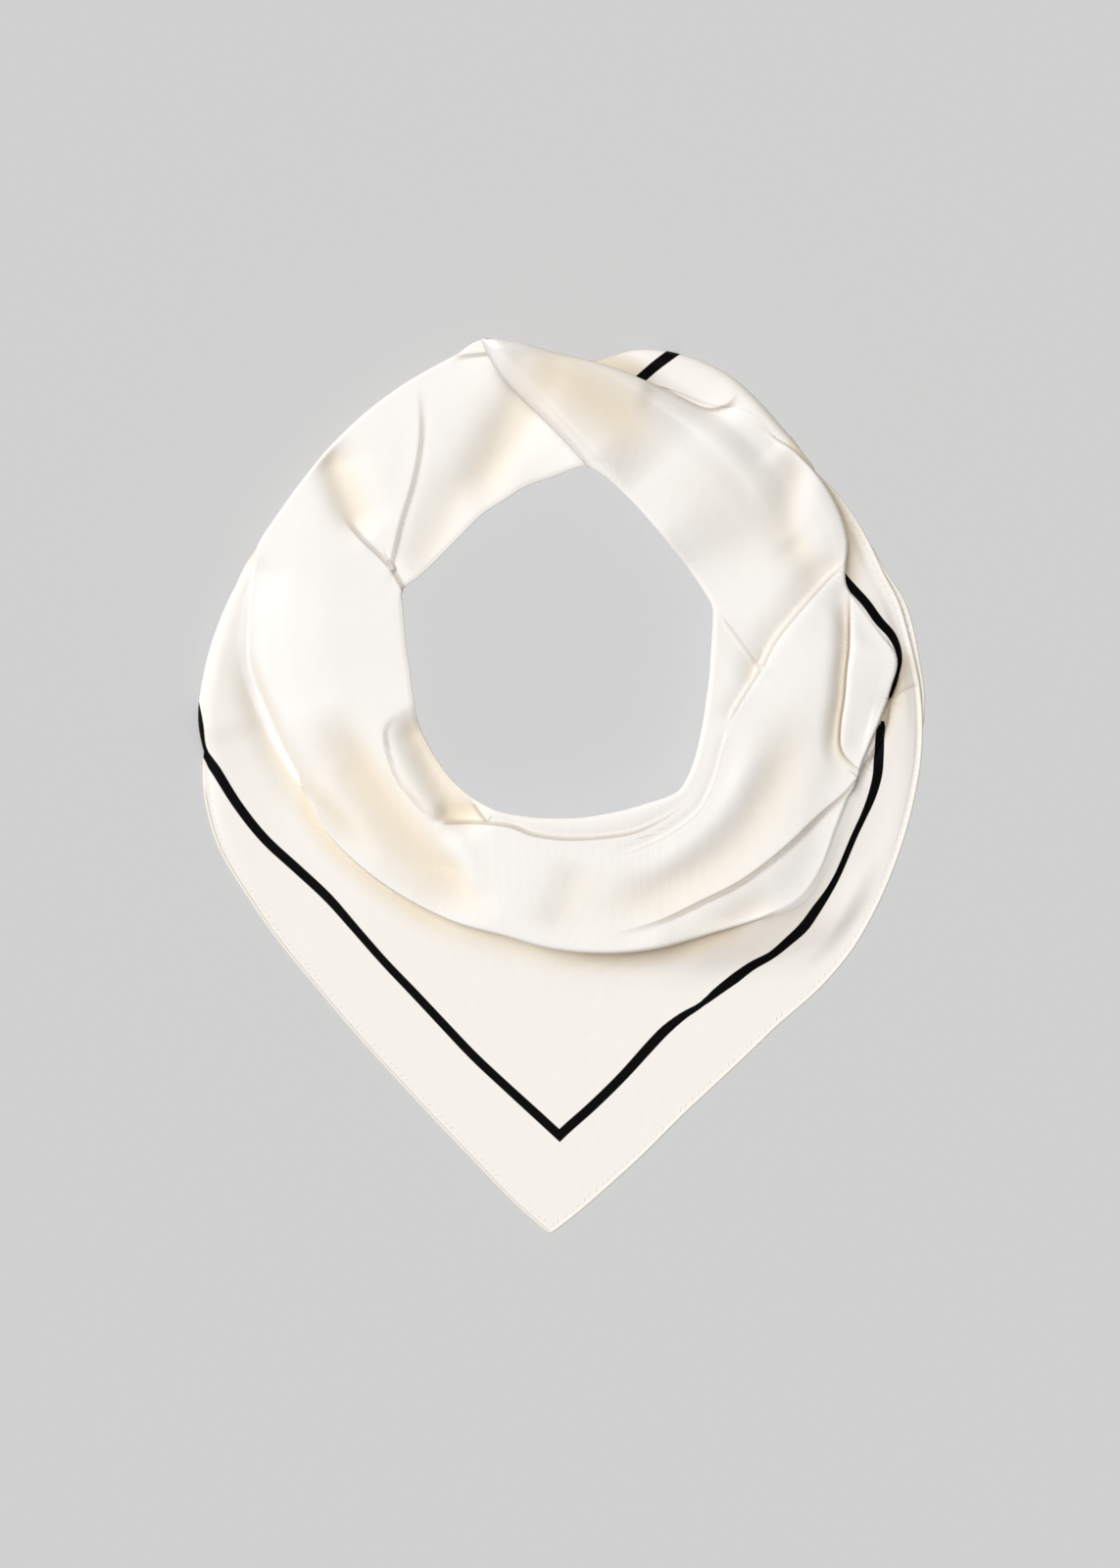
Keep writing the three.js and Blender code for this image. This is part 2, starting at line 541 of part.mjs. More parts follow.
function makeSilkSquare() {
  const grid = sectionAngles().map(section);
  const silk = new THREE.MeshStandardMaterial({ color: 0xf6f3ec, roughness: 0.42, metalness: 0 });
  const geometry = wallFromGrid(grid);
  // The origin lies under the middle of the outline, on the floor
  geometry.computeBoundingBox();
  const middle = geometry.boundingBox.getCenter(new THREE.Vector3());
  geometry.translate(-middle.x, -middle.y, -geometry.boundingBox.min.z);
  const mesh = new THREE.Mesh(geometry, silk);
  mesh.name = 'silk_square';
  return mesh;
}

const scarf = new THREE.Group();
scarf.add(makeSilkSquare());

export default scarf;
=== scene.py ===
# %% [markdown]
# # A square silk scarf, laid flat
#
# The real thing is one square of silk satin, 70 cm a side, with a hand-rolled hem and a black line
# printed all round it. It is folded corner to corner, gathered into a soft collar round a neck
# opening, its two ends crossed at the nape, and laid down with its point towards us.
#
# A cloth simulation could drop a square on a table, but it would not find these very folds. So the
# cloth is drawn the way a tailor describes it: sections round the neck, each one a short list of
# radii and heights, and then the folds that cross the sections. numpy works out the points.

# %% Load the frame
import math
from collections import namedtuple
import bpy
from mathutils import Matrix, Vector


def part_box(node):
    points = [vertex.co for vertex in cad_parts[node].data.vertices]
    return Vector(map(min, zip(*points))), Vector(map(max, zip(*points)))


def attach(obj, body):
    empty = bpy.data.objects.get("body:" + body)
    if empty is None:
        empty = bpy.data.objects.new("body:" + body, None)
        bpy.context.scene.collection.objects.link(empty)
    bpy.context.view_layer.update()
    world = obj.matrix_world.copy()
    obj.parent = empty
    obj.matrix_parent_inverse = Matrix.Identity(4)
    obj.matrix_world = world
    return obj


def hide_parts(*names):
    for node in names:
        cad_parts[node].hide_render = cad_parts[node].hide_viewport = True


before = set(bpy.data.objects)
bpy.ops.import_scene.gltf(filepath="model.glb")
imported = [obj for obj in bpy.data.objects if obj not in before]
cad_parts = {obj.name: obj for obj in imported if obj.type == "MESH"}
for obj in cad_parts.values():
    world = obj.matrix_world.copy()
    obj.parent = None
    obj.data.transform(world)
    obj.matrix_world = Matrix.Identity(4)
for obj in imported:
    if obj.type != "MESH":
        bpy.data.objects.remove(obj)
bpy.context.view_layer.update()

from types import SimpleNamespace

import bpy
import numpy as np

MM_IN_METRE = 1000
solid_low, solid_high = (np.array(corner) * MM_IN_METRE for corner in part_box("silk_square"))
print("solid, mm:", solid_low.round(1), solid_high.round(1))

# %% [markdown]
# ## The plan of the folded cloth
#
# All sizes are millimetres. Angles turn left round the middle of the neck opening, from the right
# hand side. The cloth starts under the nape at 50 degrees, runs down the left side, reaches its
# point in front, comes up the right side and ends on top of its own beginning at 464 degrees.
#
# Each row is one section. `hem` is the front hem, `fold` is where the hanging panel turns over
# outside, `lip` is the outer edge of the collar, `tuck` is how far the cloth runs in under that
# lip, `neck` is the neck edge and `back` is the hem of the layer beneath.

# %% Sections in plan
NECK_X, NECK_Y = -2.5, 76.0
TIP_ANGLE = 269.4


def table(names, rows):
    columns = names.split()
    return {name: np.array([row[i] for row in rows], float) for i, name in enumerate(columns)}


PLAN = table("at hem fold lip tuck neck back", [
    (50, 111, 122, 124, 8, 98, 112),
    (66, 114, 126, 128, 8, 94, 116),
    (80, 122, 134, 136, 8, 88.5, 124),
    (90, 129, 141, 143, 8, 81.8, 131),
    (97, 135, 147, 149, 8, 79, 137),
    (104, 142, 154, 156, 8, 76.7, 144),
    (110, 138, 150, 152.2, 8, 74.3, 142),
    (120, 136, 148, 150.3, 8, 72.5, 140),
    (133, 136, 148, 149.9, 8, 70.4, 140),
    (146, 137, 149, 151.3, 8, 71.6, 141),
    (156, 140, 153, 154.8, 7, 75.5, 145),
    (163, 145, 159, 159, 4, 81.4, 151),
    (167, 146, 162.8, 158.5, 1, 80.3, 153),
    (171, 147, 166, 158, -2, 78.8, 155),
    (177, 150, 172, 157.5, -5, 77.2, 160),
    (185, 160, 180.2, 157.5, -5, 76.3, 170),
    (193, 181, 187.6, 153, -5, 76.3, 183),
    (201, 194, 190.5, 150.5, -4, 78.3, 191),
    (207, 200, 196.5, 149.5, -3, 80.6, 197),
    (212, 203.6, 200, 151, 1, 82.9, 200.6),
    (222, 207.3, 204, 153.5, 5, 86, 204.5),
    (237, 218.8, 215.5, 153.7, 14, 91, 216),
    (250, 240, 236.5, 154.3, 24, 93.5, 237),
    (260, 267.3, 263.5, 154.6, 30, 92.8, 264),
    (TIP_ANGLE, 304.8, 300.5, 159, 33, 92.4, 301.5),
    (277, 276.3, 272.5, 162.2, 33, 92.8, 273),
    (286, 249.9, 246.5, 166, 31, 93.6, 247),
    (298, 230.3, 227, 170.8, 5, 96.2, 227.5),
    (308, 223.8, 220.5, 179, -1, 99.8, 221),
    (313, 220.5, 217, 182, -3, 97.5, 218),
    (318, 216, 212.5, 180, -3, 94, 214),
    (326, 208.7, 205, 172.5, -5, 88.3, 206),
    (336, 200.6, 197, 168, -4, 82.9, 199),
    (341, 197, 193.5, 168.5, 1, 81.2, 196),
    (351, 188.6, 185.3, 172, 4, 79, 190.6),
    (356.5, 183.3, 180, 173.5, 3, 78.7, 186),
    (361, 179.5, 176, 164, -4, 79, 183),
    (366, 175.8, 172, 155, -2, 79.8, 179),
    (371, 170.6, 167, 149.8, 2, 80.4, 172.2),
    (379, 166, 162.4, 156.2, 5, 77.4, 165.5),
    (388, 160.6, 157.2, 157.2, 6, 75, 158),
    (397, 153, 157.2, 154, 4, 73.6, 149),
    (402, 148, 157, 151, 0, 73.7, 145),
    (410, 147, 158.8, 147, -4, 74.7, 139),
    (417, 149, 160, 137.6, -4, 76.7, 134),
    (426, 147, 157.6, 137, -1, 80.4, 132),
    (434, 142, 152.5, 138.2, 4, 84.8, 131),
    (443, 131, 141, 140.8, 8, 88.5, 131),
    (450, 130, 141.7, 143.7, 8, 88.5, 133),
    (457, 136, 148, 150, 8, 88.5, 139),
    (464, 141, 153.4, 155.4, 8, 88.5, 145),
])
FIRST, LAST = PLAN["at"][0], PLAN["at"][-1]
print("sections in plan:", len(PLAN["at"]))

# %% [markdown]
# ## The heights
#
# The same sections seen from the side. `rise` is how high the outer fold stands, `low` is the
# panel where it meets the collar, `drop` is how much higher the collar lies just inside its lip
# and `crown` is the top of the collar.

# %% Sections in height
HEIGHT = table("at rise low drop crown", [
    (50, 0, 4.2, 2, 7.5),
    (84, 0, 4.2, 2, 8),
    (96, 0, 4.2, 4, 9.5),
    (104, 0, 4.2, 6.5, 12),
    (112, 0, 4.2, 8, 14),
    (130, 0, 4.2, 9.5, 15.5),
    (156, 0, 4.2, 9.5, 16),
    (166, 2.5, 5.5, 6, 15),
    (177, 6, 8, 3, 14.5),
    (193, 5, 7.5, 3, 14),
    (204, 2, 6.5, 3.5, 14.5),
    (222, 0, 6, 2.5, 15.5),
    (237, 0, 6.5, 3, 16.5),
    (250, 0, 7, 5, 17),
    (264, 0, 6.5, 7.5, 17.5),
    (288, 0, 7, 8.5, 17.5),
    (295, 0, 8.5, 4.5, 17.5),
    (302, 0, 9.5, 3, 17.5),
    (308, 0, 9.5, 2, 17),
    (316, 0, 8, 2, 16),
    (332, 1.2, 6.5, 1.5, 15),
    (344, 2, 7, 1.5, 14.5),
    (356, 1.6, 6, 5, 14.5),
    (364, 0.5, 8, 3, 14.5),
    (371, 0, 6, 4, 14),
    (388, 0, 4.8, 3.2, 14.5),
    (397, 3.5, 4.8, 4.4, 16.5),
    (408, 8, 9, 3, 19),
    (418, 5, 7, 3, 19.5),
    (434, 4, 6, 6, 20),
    (443, 1, 4.5, 8.5, 20),
    (464, 0, 4.5, 9.5, 20),
])
print("sections in height:", len(HEIGHT["at"]))

# %% [markdown]
# ## The folds that cross the sections
#
# A crease in silk is a step with a soft side and a sharp side. Each row is one fold along a path
# seen from above. `part` says which stretch of the cloth it lies on: `under` up to the front,
# `over` after it, or `any`. `left` and `right` are how high the cloth stands on either side of the
# path, `wide_left` and `wide_right` how far that height dies away, and `edge` how wide the step
# between them is. `slit` is how dark a shade is painted into the crease, and `fade` the end at which
# the fold runs out. A fold with two equal heights is a plain ridge or hollow. It has no slit, so
# there that number is how much painted shade, warmer and darker, the cloth gets.

# %% Folds
Fold = namedtuple("Fold", "name part left right wide_left wide_right edge slit fade points")
FOLDS = [Fold(*row) for row in [
    ("crease by the left shoulder", "under", -0.7, 0.8, 7, 10, 2, 0.35, "start",
     [(-72.5, 207), (-71.5, 191), (-71.5, 178.5), (-73, 166), (-76, 152.5), (-81, 136), (-84.5, 122),
      (-87, 110.5)]),
    ("crease over the left side", "under", -1.5, 0.6, 9, 10, 2.6, 0.5, "start",
     [(-113, 138.5), (-106.5, 130.5), (-100, 123.5), (-93.5, 117.5), (-87, 110.5), (-83.5, 105),
      (-80.5, 99.5)]),
    ("hollow inside the left side", "under", -6, -6, 11, 8, 2, 0, "both",
     [(-117.5, 178), (-114.5, 162), (-110.5, 150), (-104.5, 137), (-96, 124)]),
    ("hollow beside the top end", "under", -5.5, -5.5, 11, 13, 2, 0, "end",
     [(-11, 212), (-19, 193), (-28, 177), (-34, 166), (-42, 153), (-51, 140)]),
    ("slope beside the crease", "under", -2.5, -2.5, 10, 12, 2, 0, "both",
     [(-46, 162), (-54, 147), (-60, 134), (-69, 116), (-76, 102)]),
    ("turned corner at the nape", "under", 0.5, -1.5, 5, 6, 1.2, 0.4, "start",
     [(-55.5, 217.5), (-45.5, 219), (-35, 220)]),
    ("long slope of the top end", "over", 7, 7, 30, 6, 4, 0, "end",
     [(-35, 225), (-24, 214.5), (-6.5, 197), (8.5, 181), (22, 167), (38, 150)]),
    ("peak at the nape", "over", 4, 4, 40, 40, 4, 0, "",
     [(-36, 226), (-26, 216)]),
    # A shallow hollow with painted shade over it
    ("shade of the top end", "over", -1.5, -1.5, 17, 17, 2, 1.0, "",
     [(-3, 208), (14, 198), (30, 187)]),
    # A shallow hollow with a little painted shade
    ("hollow of the right shoulder", "over", -1.8, -1.8, 9, 9, 2, 0.2, "both",
     [(114, 128), (124, 115), (133, 102)]),
    # A shallow hollow with a little painted shade
    ("crease beside the long one", "over", -1.6, -1.6, 8, 8, 2, 0.3, "both",
     [(42, -86), (66, -78), (92, -66), (112, -52)]),
    ("fold over the top end", "over", 1.5, -1.8, 8, 12, 2, 0.6, "both",
     [(41, 206), (53.5, 201), (63.5, 195.5), (74.5, 191.5), (86, 194.5), (90.5, 202)]),
    ("neck edge of the top end", "over", 0.6, -1, 8, 14, 2, 0.3, "start",
     [(77.5, 91), (89, 75.5), (100.9, 59)]),
    ("front fold over the top end", "over", -3.6, -0.4, 18, 6, 2.6, 0.4, "end",
     [(101.5, 59), (108.5, 73), (117, 84), (135, 104.5), (143.5, 113), (147.5, 121)]),
    ("front fold over the neck layer", "over", 0.6, -2, 6, 12, 2, 0.4, "end",
     [(100.9, 58.5), (91.8, 44.5), (83.3, 30)]),
    ("deep valley on the right", "over", -0.5, -8, 4, 11, 2, 1, "both",
     [(146, 108), (146, 72.5), (144.5, 58), (143.5, 44.5), (141.5, 30), (142, 18), (150, 9), (160, 4)]),
    ("overhang of the right lobe", "over", 1, -2, 9, 8, 2, 0.5, "end",
     [(153.5, 9.5), (160.5, 21.5), (166, 37), (169.5, 51), (173, 67)]),
    ("fold in the right edge", "over", -2.2, 0.4, 9, 8, 3, 0.3, "both",
     [(160, 34), (168, 44), (176, 50), (190, 54)]),
    ("long crease under the collar", "over", 0.8, -0.6, 12, 14, 2.6, 0.6, "start",
     [(21.5, -77.3), (49.5, -69), (70.5, -59), (91.8, -48), (112.8, -32), (131, -15), (144, -4),
      (150, 3)]),
    ("valley of the right collar", "over", -4.2, -4.2, 11, 13, 2, 0, "both",
     [(8, -64), (34, -60), (65, -46), (90, -28), (105, -6), (114, 16), (120, 48)]),
    ("ridge of the right collar", "over", 1.5, 1.5, 7, 7, 2, 0, "both",
     [(33, -49), (59, -34), (80, -15), (93, 6), (100, 31)]),
    ("pocket at the neck", "any", -7, -7, 10, 10, 2, 0, "start",
     [(-80, 41), (-76, 33), (-70.5, 21), (-64.5, 7.5), (-57, -5), (-51, -12)]),
    ("edge of the pocket", "any", -1, 0.8, 6, 6, 2, 0.25, "both",
     [(-80, 35), (-86, 34), (-90, 27), (-87.5, 13.5), (-82.5, 2), (-76.5, -5.5), (-71, -12),
      (-65.5, -16), (-60, -19)]),
    ("deep end of the pocket", "any", -3.5, -3.5, 5, 5, 2, 0, "",
     [(-58, -14), (-47, -16.5)]),
    ("inner lip of the collar", "any", -2, 0.6, 8, 8, 2, 0.5, "end",
     [(-60, -19), (-40.2, -19), (-26.2, -20.5), (-15, -24.8), (1.9, -27), (23, -26), (38.5, -23),
      (56.5, -13.5), (70, -1)]),
    ("small crease at the neck", "any", 0.3, -1.2, 4, 5, 1.2, 0.5, "",
     [(-44.5, -9.5), (-38, -18.5)]),
    ("second inner line", "any", -1, 0.5, 6, 6, 2, 0.2, "start",
     [(18.8, -39), (49.5, -27.5), (69.3, -13.5), (77.5, 2), (83.3, 23)]),
    ("crest from the pocket", "any", 1.2, 1.2, 5, 5, 2, 0, "both",
     [(-60, -23.5), (-50, -33), (-44.5, -47), (-43, -58.5)]),
    ("hollow of the left collar", "any", -8, -8, 9, 19, 2, 0, "both",
     [(-117, 44), (-111, 28), (-102, 13), (-91, -4), (-76, -25), (-59, -43), (-46, -56), (-34, -72)]),
    ("dimple in front", "any", -2.2, -2.2, 20, 11, 2, 0, "both",
     [(14, -36), (7, -51), (1, -66), (-4, -80)]),
    ("hollow outside the left collar", "any", -5.5, -5.5, 6, 9, 2, 0, "both",
     [(-161, 78), (-155.5, 54), (-150, 36), (-142.5, 18), (-132.5, 1), (-118, -12), (-103, -27),
      (-90, -38)]),
    ("left collar line", "any", 0.6, 0.6, 4, 4, 2, 0, "both",
     [(-151, 110), (-150.5, 85), (-149, 46), (-142.5, 26), (-134.5, 6), (-121.5, -14), (-105, -33),
      (-88, -45)]),
    ("hollow by the right shoulder", "over", -2.7, -2.7, 8, 11, 2, 0, "both",
     [(130, 190), (126, 172), (119, 156), (115, 142), (116, 126), (121, 108)]),
    ("hollow of the top end", "over", -1.2, -1.2, 15, 15, 2, 0, "",
     [(78, 146), (94, 128)]),
    ("bulge of the right shoulder", "over", 1, 1, 10, 10, 2, 0, "",
     [(132, 150), (137, 132)]),
    ("swell of the right panel", "any", 4, 4, 12, 13, 2, 0, "both",
     [(30, -84), (58, -85), (83.5, -82), (108.5, -79), (133.5, -72), (153, -56), (168, -32)]),
]]
print("folds:", len(FOLDS))

# %% [markdown]
# ## From rows to smooth curves
#
# Between two rows the value follows a cubic curve through its neighbours, which is how a pliable
# ruler would run. Only at the point of the square the hems keep a sharp corner.

# %% Small curves
SOFT_PASSAGE = 4.0


def clamp01(x):
    return np.clip(x, 0.0, 1.0)


def smooth(x):
    x = clamp01(x)
    return x * x * (3 - 2 * x)


def roll(x):
    """Quarter circle, from 0 at the edge to 1 where the roll ends."""
    return np.sqrt(1 - (1 - clamp01(x)) ** 2)


def lerp(a, b, t):
    return a + (b - a) * t


def soft_max(a, b, passage=SOFT_PASSAGE):
    """The larger of two heights, with a round passage of a few millimetres between them."""
    return (a + b + np.hypot(a - b, passage)) / 2


# %% Curves through the tables
def through(at, value, corner=None):
    """Smooth curve through the points (at, value), as a function of at."""
    secant = np.diff(value) / np.diff(at)
    chord = (value[2:] - value[:-2]) / (at[2:] - at[:-2])
    leaving = np.concatenate([secant[:1], chord, secant[-1:]])
    arriving = leaving.copy()
    if corner is not None:
        tip = int(np.argmin(abs(at - corner)))
        leaving[tip] = secant[tip]
        arriving[tip] = secant[tip - 1]

    def curve(where):
        i = np.clip(np.searchsorted(at, where, side="right") - 1, 0, len(at) - 2)
        span = at[i + 1] - at[i]
        t = clamp01((where - at[i]) / span)
        start = value[i] * (1 + 2 * t) * (1 - t) ** 2 + leaving[i] * span * t * (1 - t) ** 2
        end = value[i + 1] * t * t * (3 - 2 * t) - arriving[i + 1] * span * t * t * (1 - t)
        return start + end

    return curve


def curves_of(rows, cornered=()):
    made = {}
    for name, value in rows.items():
        if name != "at":
            made[name] = through(rows["at"], value, TIP_ANGLE if name in cornered else None)
    return SimpleNamespace(**made)


plan = curves_of(PLAN, cornered=("hem", "fold", "back"))
height = curves_of(HEIGHT)
print("from the middle of the neck to the point, mm:", round(float(plan.fold(TIP_ANGLE)), 1))

# %% [markdown]
# ## How a fold lifts the cloth
#
# For every point of the cloth we look for the nearest point of a fold's path. The distance gives
# the height, and the side decides which of the two heights holds. A crease is steepest right at
# its path, where the low side dives in and the high side leans out over it; a ridge or a hollow
# is round there.

# %% Paths of the folds
FOLD_STEPS = 6


def smooth_path(points, steps):
    """A path through given points, as a chain of short straight pieces."""
    points = np.array(points, float)
    along = np.concatenate([[0], np.cumsum(np.hypot(*np.diff(points, axis=0).T))])
    where = np.linspace(0, along[-1], steps * (len(points) - 1) + 1)
    return np.column_stack([through(along, points[:, 0])(where), through(along, points[:, 1])(where)])


FOLD_PATHS = [smooth_path(fold.points, FOLD_STEPS) for fold in FOLDS]
print("points on the paths:", sum(len(path) for path in FOLD_PATHS))


# %% The nearest point of a path
def nearest_on(path, x, y):
    """Distance to a path, which side of it a point is on, how far along, and the way to its left."""
    best = np.full(x.shape, np.inf)
    side, along, left_x, left_y = (np.zeros(x.shape) for _ in range(4))
    for k, ((ax, ay), (bx, by)) in enumerate(zip(path[:-1], path[1:])):
        dx, dy = bx - ax, by - ay
        length = math.hypot(dx, dy)
        t = clamp01(((x - ax) * dx + (y - ay) * dy) / length ** 2)
        ox, oy = x - ax - t * dx, y - ay - t * dy
        distance = np.hypot(ox, oy)
        closer = distance < best
        best = np.where(closer, distance, best)
        side = np.where(closer, np.sign(dx * oy - dy * ox), side)
        along = np.where(closer, (k + t) / (len(path) - 1), along)
        left_x = np.where(closer, -dy / length, left_x)
        left_y = np.where(closer, dx / length, left_y)
    return best, side, along, left_x, left_y


# %% Fold heights
FADE_SHARE = 0.28
LEAN = 1.1
FRONT = 250


def strength_along(at, along, fold):
    """1 where a fold has its full height, 0 on the stretches of cloth it does not cross."""
    strength = np.ones(along.shape)
    if fold.part == "under":
        strength = strength * (at <= FRONT)
    if fold.part == "over":
        strength = strength * (at >= FRONT)
    if fold.fade in ("start", "both"):
        strength = strength * smooth(along / FADE_SHARE)
    if fold.fade in ("end", "both"):
        strength = strength * smooth((1 - along) / FADE_SHARE)
    return strength


def relief(at, x, y):
    """Height that the folds add at a point, and how far they push it over sideways."""
    lift, push_x, push_y = (np.zeros(x.shape) for _ in range(3))
    for fold, path in zip(FOLDS, FOLD_PATHS):
        distance, side, along, left_x, left_y = nearest_on(path, x, y)
        strength = strength_along(at, along, fold)
        leftness = smooth(0.5 + 0.5 * side * distance / fold.edge)
        wide = lerp(fold.wide_right, fold.wide_left, leftness)
        if fold.left == fold.right:
            lift += strength * fold.left * np.exp(-((distance / wide) ** 2))
            continue
        shape = strength * (1 - clamp01(distance / wide)) ** 2
        lift += lerp(fold.right, fold.left, leftness) * shape
        # The high side leans out over the low side
        lean = LEAN * fold.edge * shape * (-leftness if fold.left > fold.right else 1 - leftness)
        push_x += lean * left_x
        push_y += lean * left_y
    return lift, push_x, push_y


# %% [markdown]
# ## One section, from hem to hem
#
# The section follows the cloth: from the front hem over the hanging panel, in under the lip of the
# collar and out again, over the collar to the neck edge, through two hidden pleats that take up
# the fullness, and out along the table to the back hem. The tables give the outline that is seen,
# and the middle of the cloth lies half a millimetre or so inside it.

# %% Radii of the sections
FULL_TURN = 360
OUTLINE_TO_MIDDLE = 0.5
OUTLINE_TO_HEM = 0.7
FLOOR_LAYER = 0.5
FLAP_WIDTH = 4
TUCK_DEPTH = 3
OPEN_TUCK = 4
CLOSED_WITHIN = 12
END_SLANT = 24
SLANT_LENGTH = 44
OVERLAP = 90
PLEAT_CLEARANCE = 5


def measure(at):
    """Radii and heights of the sections at these angles, along the middle of the cloth."""
    s = SimpleNamespace(at=at)
    s.slant = END_SLANT * smooth((at - LAST + SLANT_LENGTH) / SLANT_LENGTH)
    s.hem = plan.hem(at) - OUTLINE_TO_HEM
    s.fold = plan.fold(at) - OUTLINE_TO_MIDDLE
    s.lip = plan.lip(at) - OUTLINE_TO_MIDDLE
    s.neck = plan.neck(at - s.slant) + OUTLINE_TO_MIDDLE
    tuck = plan.tuck(at)
    s.root = s.lip - tuck
    s.back = plan.back(at) - OUTLINE_TO_HEM
    beneath = np.where(at > LAST - OVERLAP, plan.lip(at - FULL_TURN), s.lip)
    s.pleat = np.minimum.reduce([s.hem, s.root, s.lip, beneath]) - PLEAT_CLEARANCE
    s.width = s.lip - s.neck
    s.tucked = smooth(tuck / TUCK_DEPTH)
    s.closed = smooth((tuck + OPEN_TUCK) / CLOSED_WITHIN)
    s.hidden = clamp01((s.fold - s.hem) / FLAP_WIDTH)
    s.rise = height.rise(at)
    s.low = height.low(at) - FLOOR_LAYER
    s.drop = height.drop(at)
    s.crown = height.crown(at) - FLOOR_LAYER
    return s


def angle_of(s, radius):
    return s.at - s.slant * clamp01((s.lip - radius) / s.width) ** 2


def plan_point(s, radius):
    turn = np.radians(angle_of(s, radius))
    return NECK_X + radius * np.cos(turn), NECK_Y + radius * np.sin(turn)


at_point = measure(np.array([[TIP_ANGLE]]))
print("width of the collar in front, mm:", at_point.width.round(1).item())

# %% [markdown]
# ## Heights along a section
#
# The lowest layer lies on the table, or on the end of the scarf that was laid down first. Every
# layer above it keeps one thickness of cloth and a breath of air from the next.

# %% Height of the floor
LAYER = 1.4
LIP_ROLL = 1.6
NECK_ROLL = 2
CLIMB_BEFORE = 36
CLIMB_WITHIN = 32
SLOPE_GAP = 1
SLOPE_LENGTH = 16
REST_LAYERS = 1.5


def base_height(s, radius):
    """The table, or the top of the end that lies beneath."""
    angle = angle_of(s, radius)
    climbing = smooth((angle - FULL_TURN - FIRST + CLIMB_BEFORE) / CLIMB_WITHIN)
    begins = np.where(s.at < FULL_TURN, 0.0, climbing)
    if not np.any(begins):
        return np.full(np.broadcast(s.at, radius).shape, FLOOR_LAYER)
    below = measure(np.maximum(FIRST, angle - FULL_TURN))
    reach = np.minimum(below.lip - LIP_ROLL / 2, np.maximum(below.neck + NECK_ROLL / 2, radius))
    outside = 1 - smooth((radius - below.lip - SLOPE_GAP) / SLOPE_LENGTH)
    top = collar_height(below, reach, folded=False)[0]
    return FLOOR_LAYER + (top + REST_LAYERS * LAYER - FLOOR_LAYER) * begins * outside


# %% Height of the panel
FLAP_ROLL = 2
FOLD_ROLL = 9
PANEL_CLIMB = 26
PANEL_EDGE = 6
PANEL_FADE = 12
SOFT_LANDING = 1


def relief_at(s, radius, share):
    """Lift and sideways push of the folds, taken by a share."""
    x, y = plan_point(s, radius)
    return [share * value for value in relief(s.at, x, y)]


def pressed(z, floor):
    """A height that runs out softly where it meets the floor."""
    above = z - floor
    return floor + (above + np.hypot(above, SOFT_LANDING) - SOFT_LANDING) / 2


def panel_height(s, radius):
    """Height of the hanging panel, and the lift and push that its folds give."""
    x = np.abs(s.fold - radius)
    turned = LAYER + s.hidden * LAYER * roll(x / FLAP_ROLL)
    edge = turned + s.rise * roll(x / FOLD_ROLL)
    climb = (1 - clamp01((radius - s.lip) / PANEL_CLIMB)) ** 2 * smooth(x / PANEL_EDGE)
    share = smooth(x / PANEL_FADE) * smooth((radius - s.lip + PANEL_FADE) / PANEL_FADE)
    folds = relief_at(s, radius, share)
    z = pressed(edge + (s.low - edge) * climb + folds[0], turned)
    return base_height(s, radius) + z, *folds


# %% Height of the collar
PLEATS = 2
PLEAT_SHOULDER = 28
PLEAT_PASSAGE = 24
LIP_SHARE = 0.8
LIP_FADE = 6
OPEN_LIP = 22
CROWN_AT = 0.55
CROWN_ROOM = 2
NECK_DROP = 0.5
NECK_FADE = 6
LEAST_PASSAGE = 1.5
END_ROLL = 7
END_TURN = 5


def lip_height(s):
    """Where the collar begins: above the panel if it is tucked in, or else level with it."""
    lift = relief_at(s, s.lip, 1 - s.tucked)[0]
    return s.low + LIP_SHARE * s.drop * s.tucked + lift + base_height(s, s.lip)


def collar_height(s, radius, folded=True):
    """Height of the collar, and the lift and push that its folds give."""
    x = s.lip - radius
    base = base_height(s, radius) if folded else np.full(radius.shape, FLOOR_LAYER)
    lip = s.low + LIP_SHARE * s.drop * s.tucked
    top = s.low + s.drop
    share = np.minimum(x / s.width / CROWN_AT, 1)
    hump = lerp(smooth(share), 1 - (1 - share) ** 2, s.closed)
    shoulder = lerp(smooth(x / OPEN_LIP), roll(x / LIP_ROLL), s.closed)
    lift, push_x, push_y = relief_at(s, radius, lerp(1, roll(x / LIP_FADE), s.tucked))
    ends_at = roll((s.width - x) / NECK_FADE)
    pleated = smooth((s.pleat + PLEAT_SHOULDER - radius) / PLEAT_PASSAGE)
    layers = lerp(2, 2 * PLEATS + 1, pleated)
    crown = soft_max(s.crown - base + FLOOR_LAYER, layers * LAYER + CROWN_ROOM)
    z = lip + (top - lip) * shoulder + (crown - top) * hump + lift
    z -= NECK_DROP * (1 - smooth((s.width - x) / NECK_ROLL))
    if folded:
        covered = np.where(radius > s.root - LAYER, panel_height(s, radius)[0] - base + LAYER, 0)
    else:
        covered = 0
    least = np.maximum(layers * LAYER, covered + LAYER * s.tucked)
    # The top end comes down over its last few millimetres
    left_over = np.radians(LAST - s.at) * radius
    ending = roll(left_over / END_ROLL)
    floor = lerp(LAYER, least, smooth(left_over / END_TURN))
    z = base + floor + (soft_max(z, least, LEAST_PASSAGE) - least) * ending
    return z, lift, push_x * ends_at, push_y * ends_at


crown = collar_height(at_point, at_point.lip - CROWN_AT * at_point.width)[0]
print("height of the collar in front, mm:", crown.round(1).item())

# %% [markdown]
# ## The grid of points
#
# Rows of the grid are the sections, columns run along the cloth from hem to hem. The columns stand
# closer together where the cloth turns over, because that is where a coarse mesh would show.

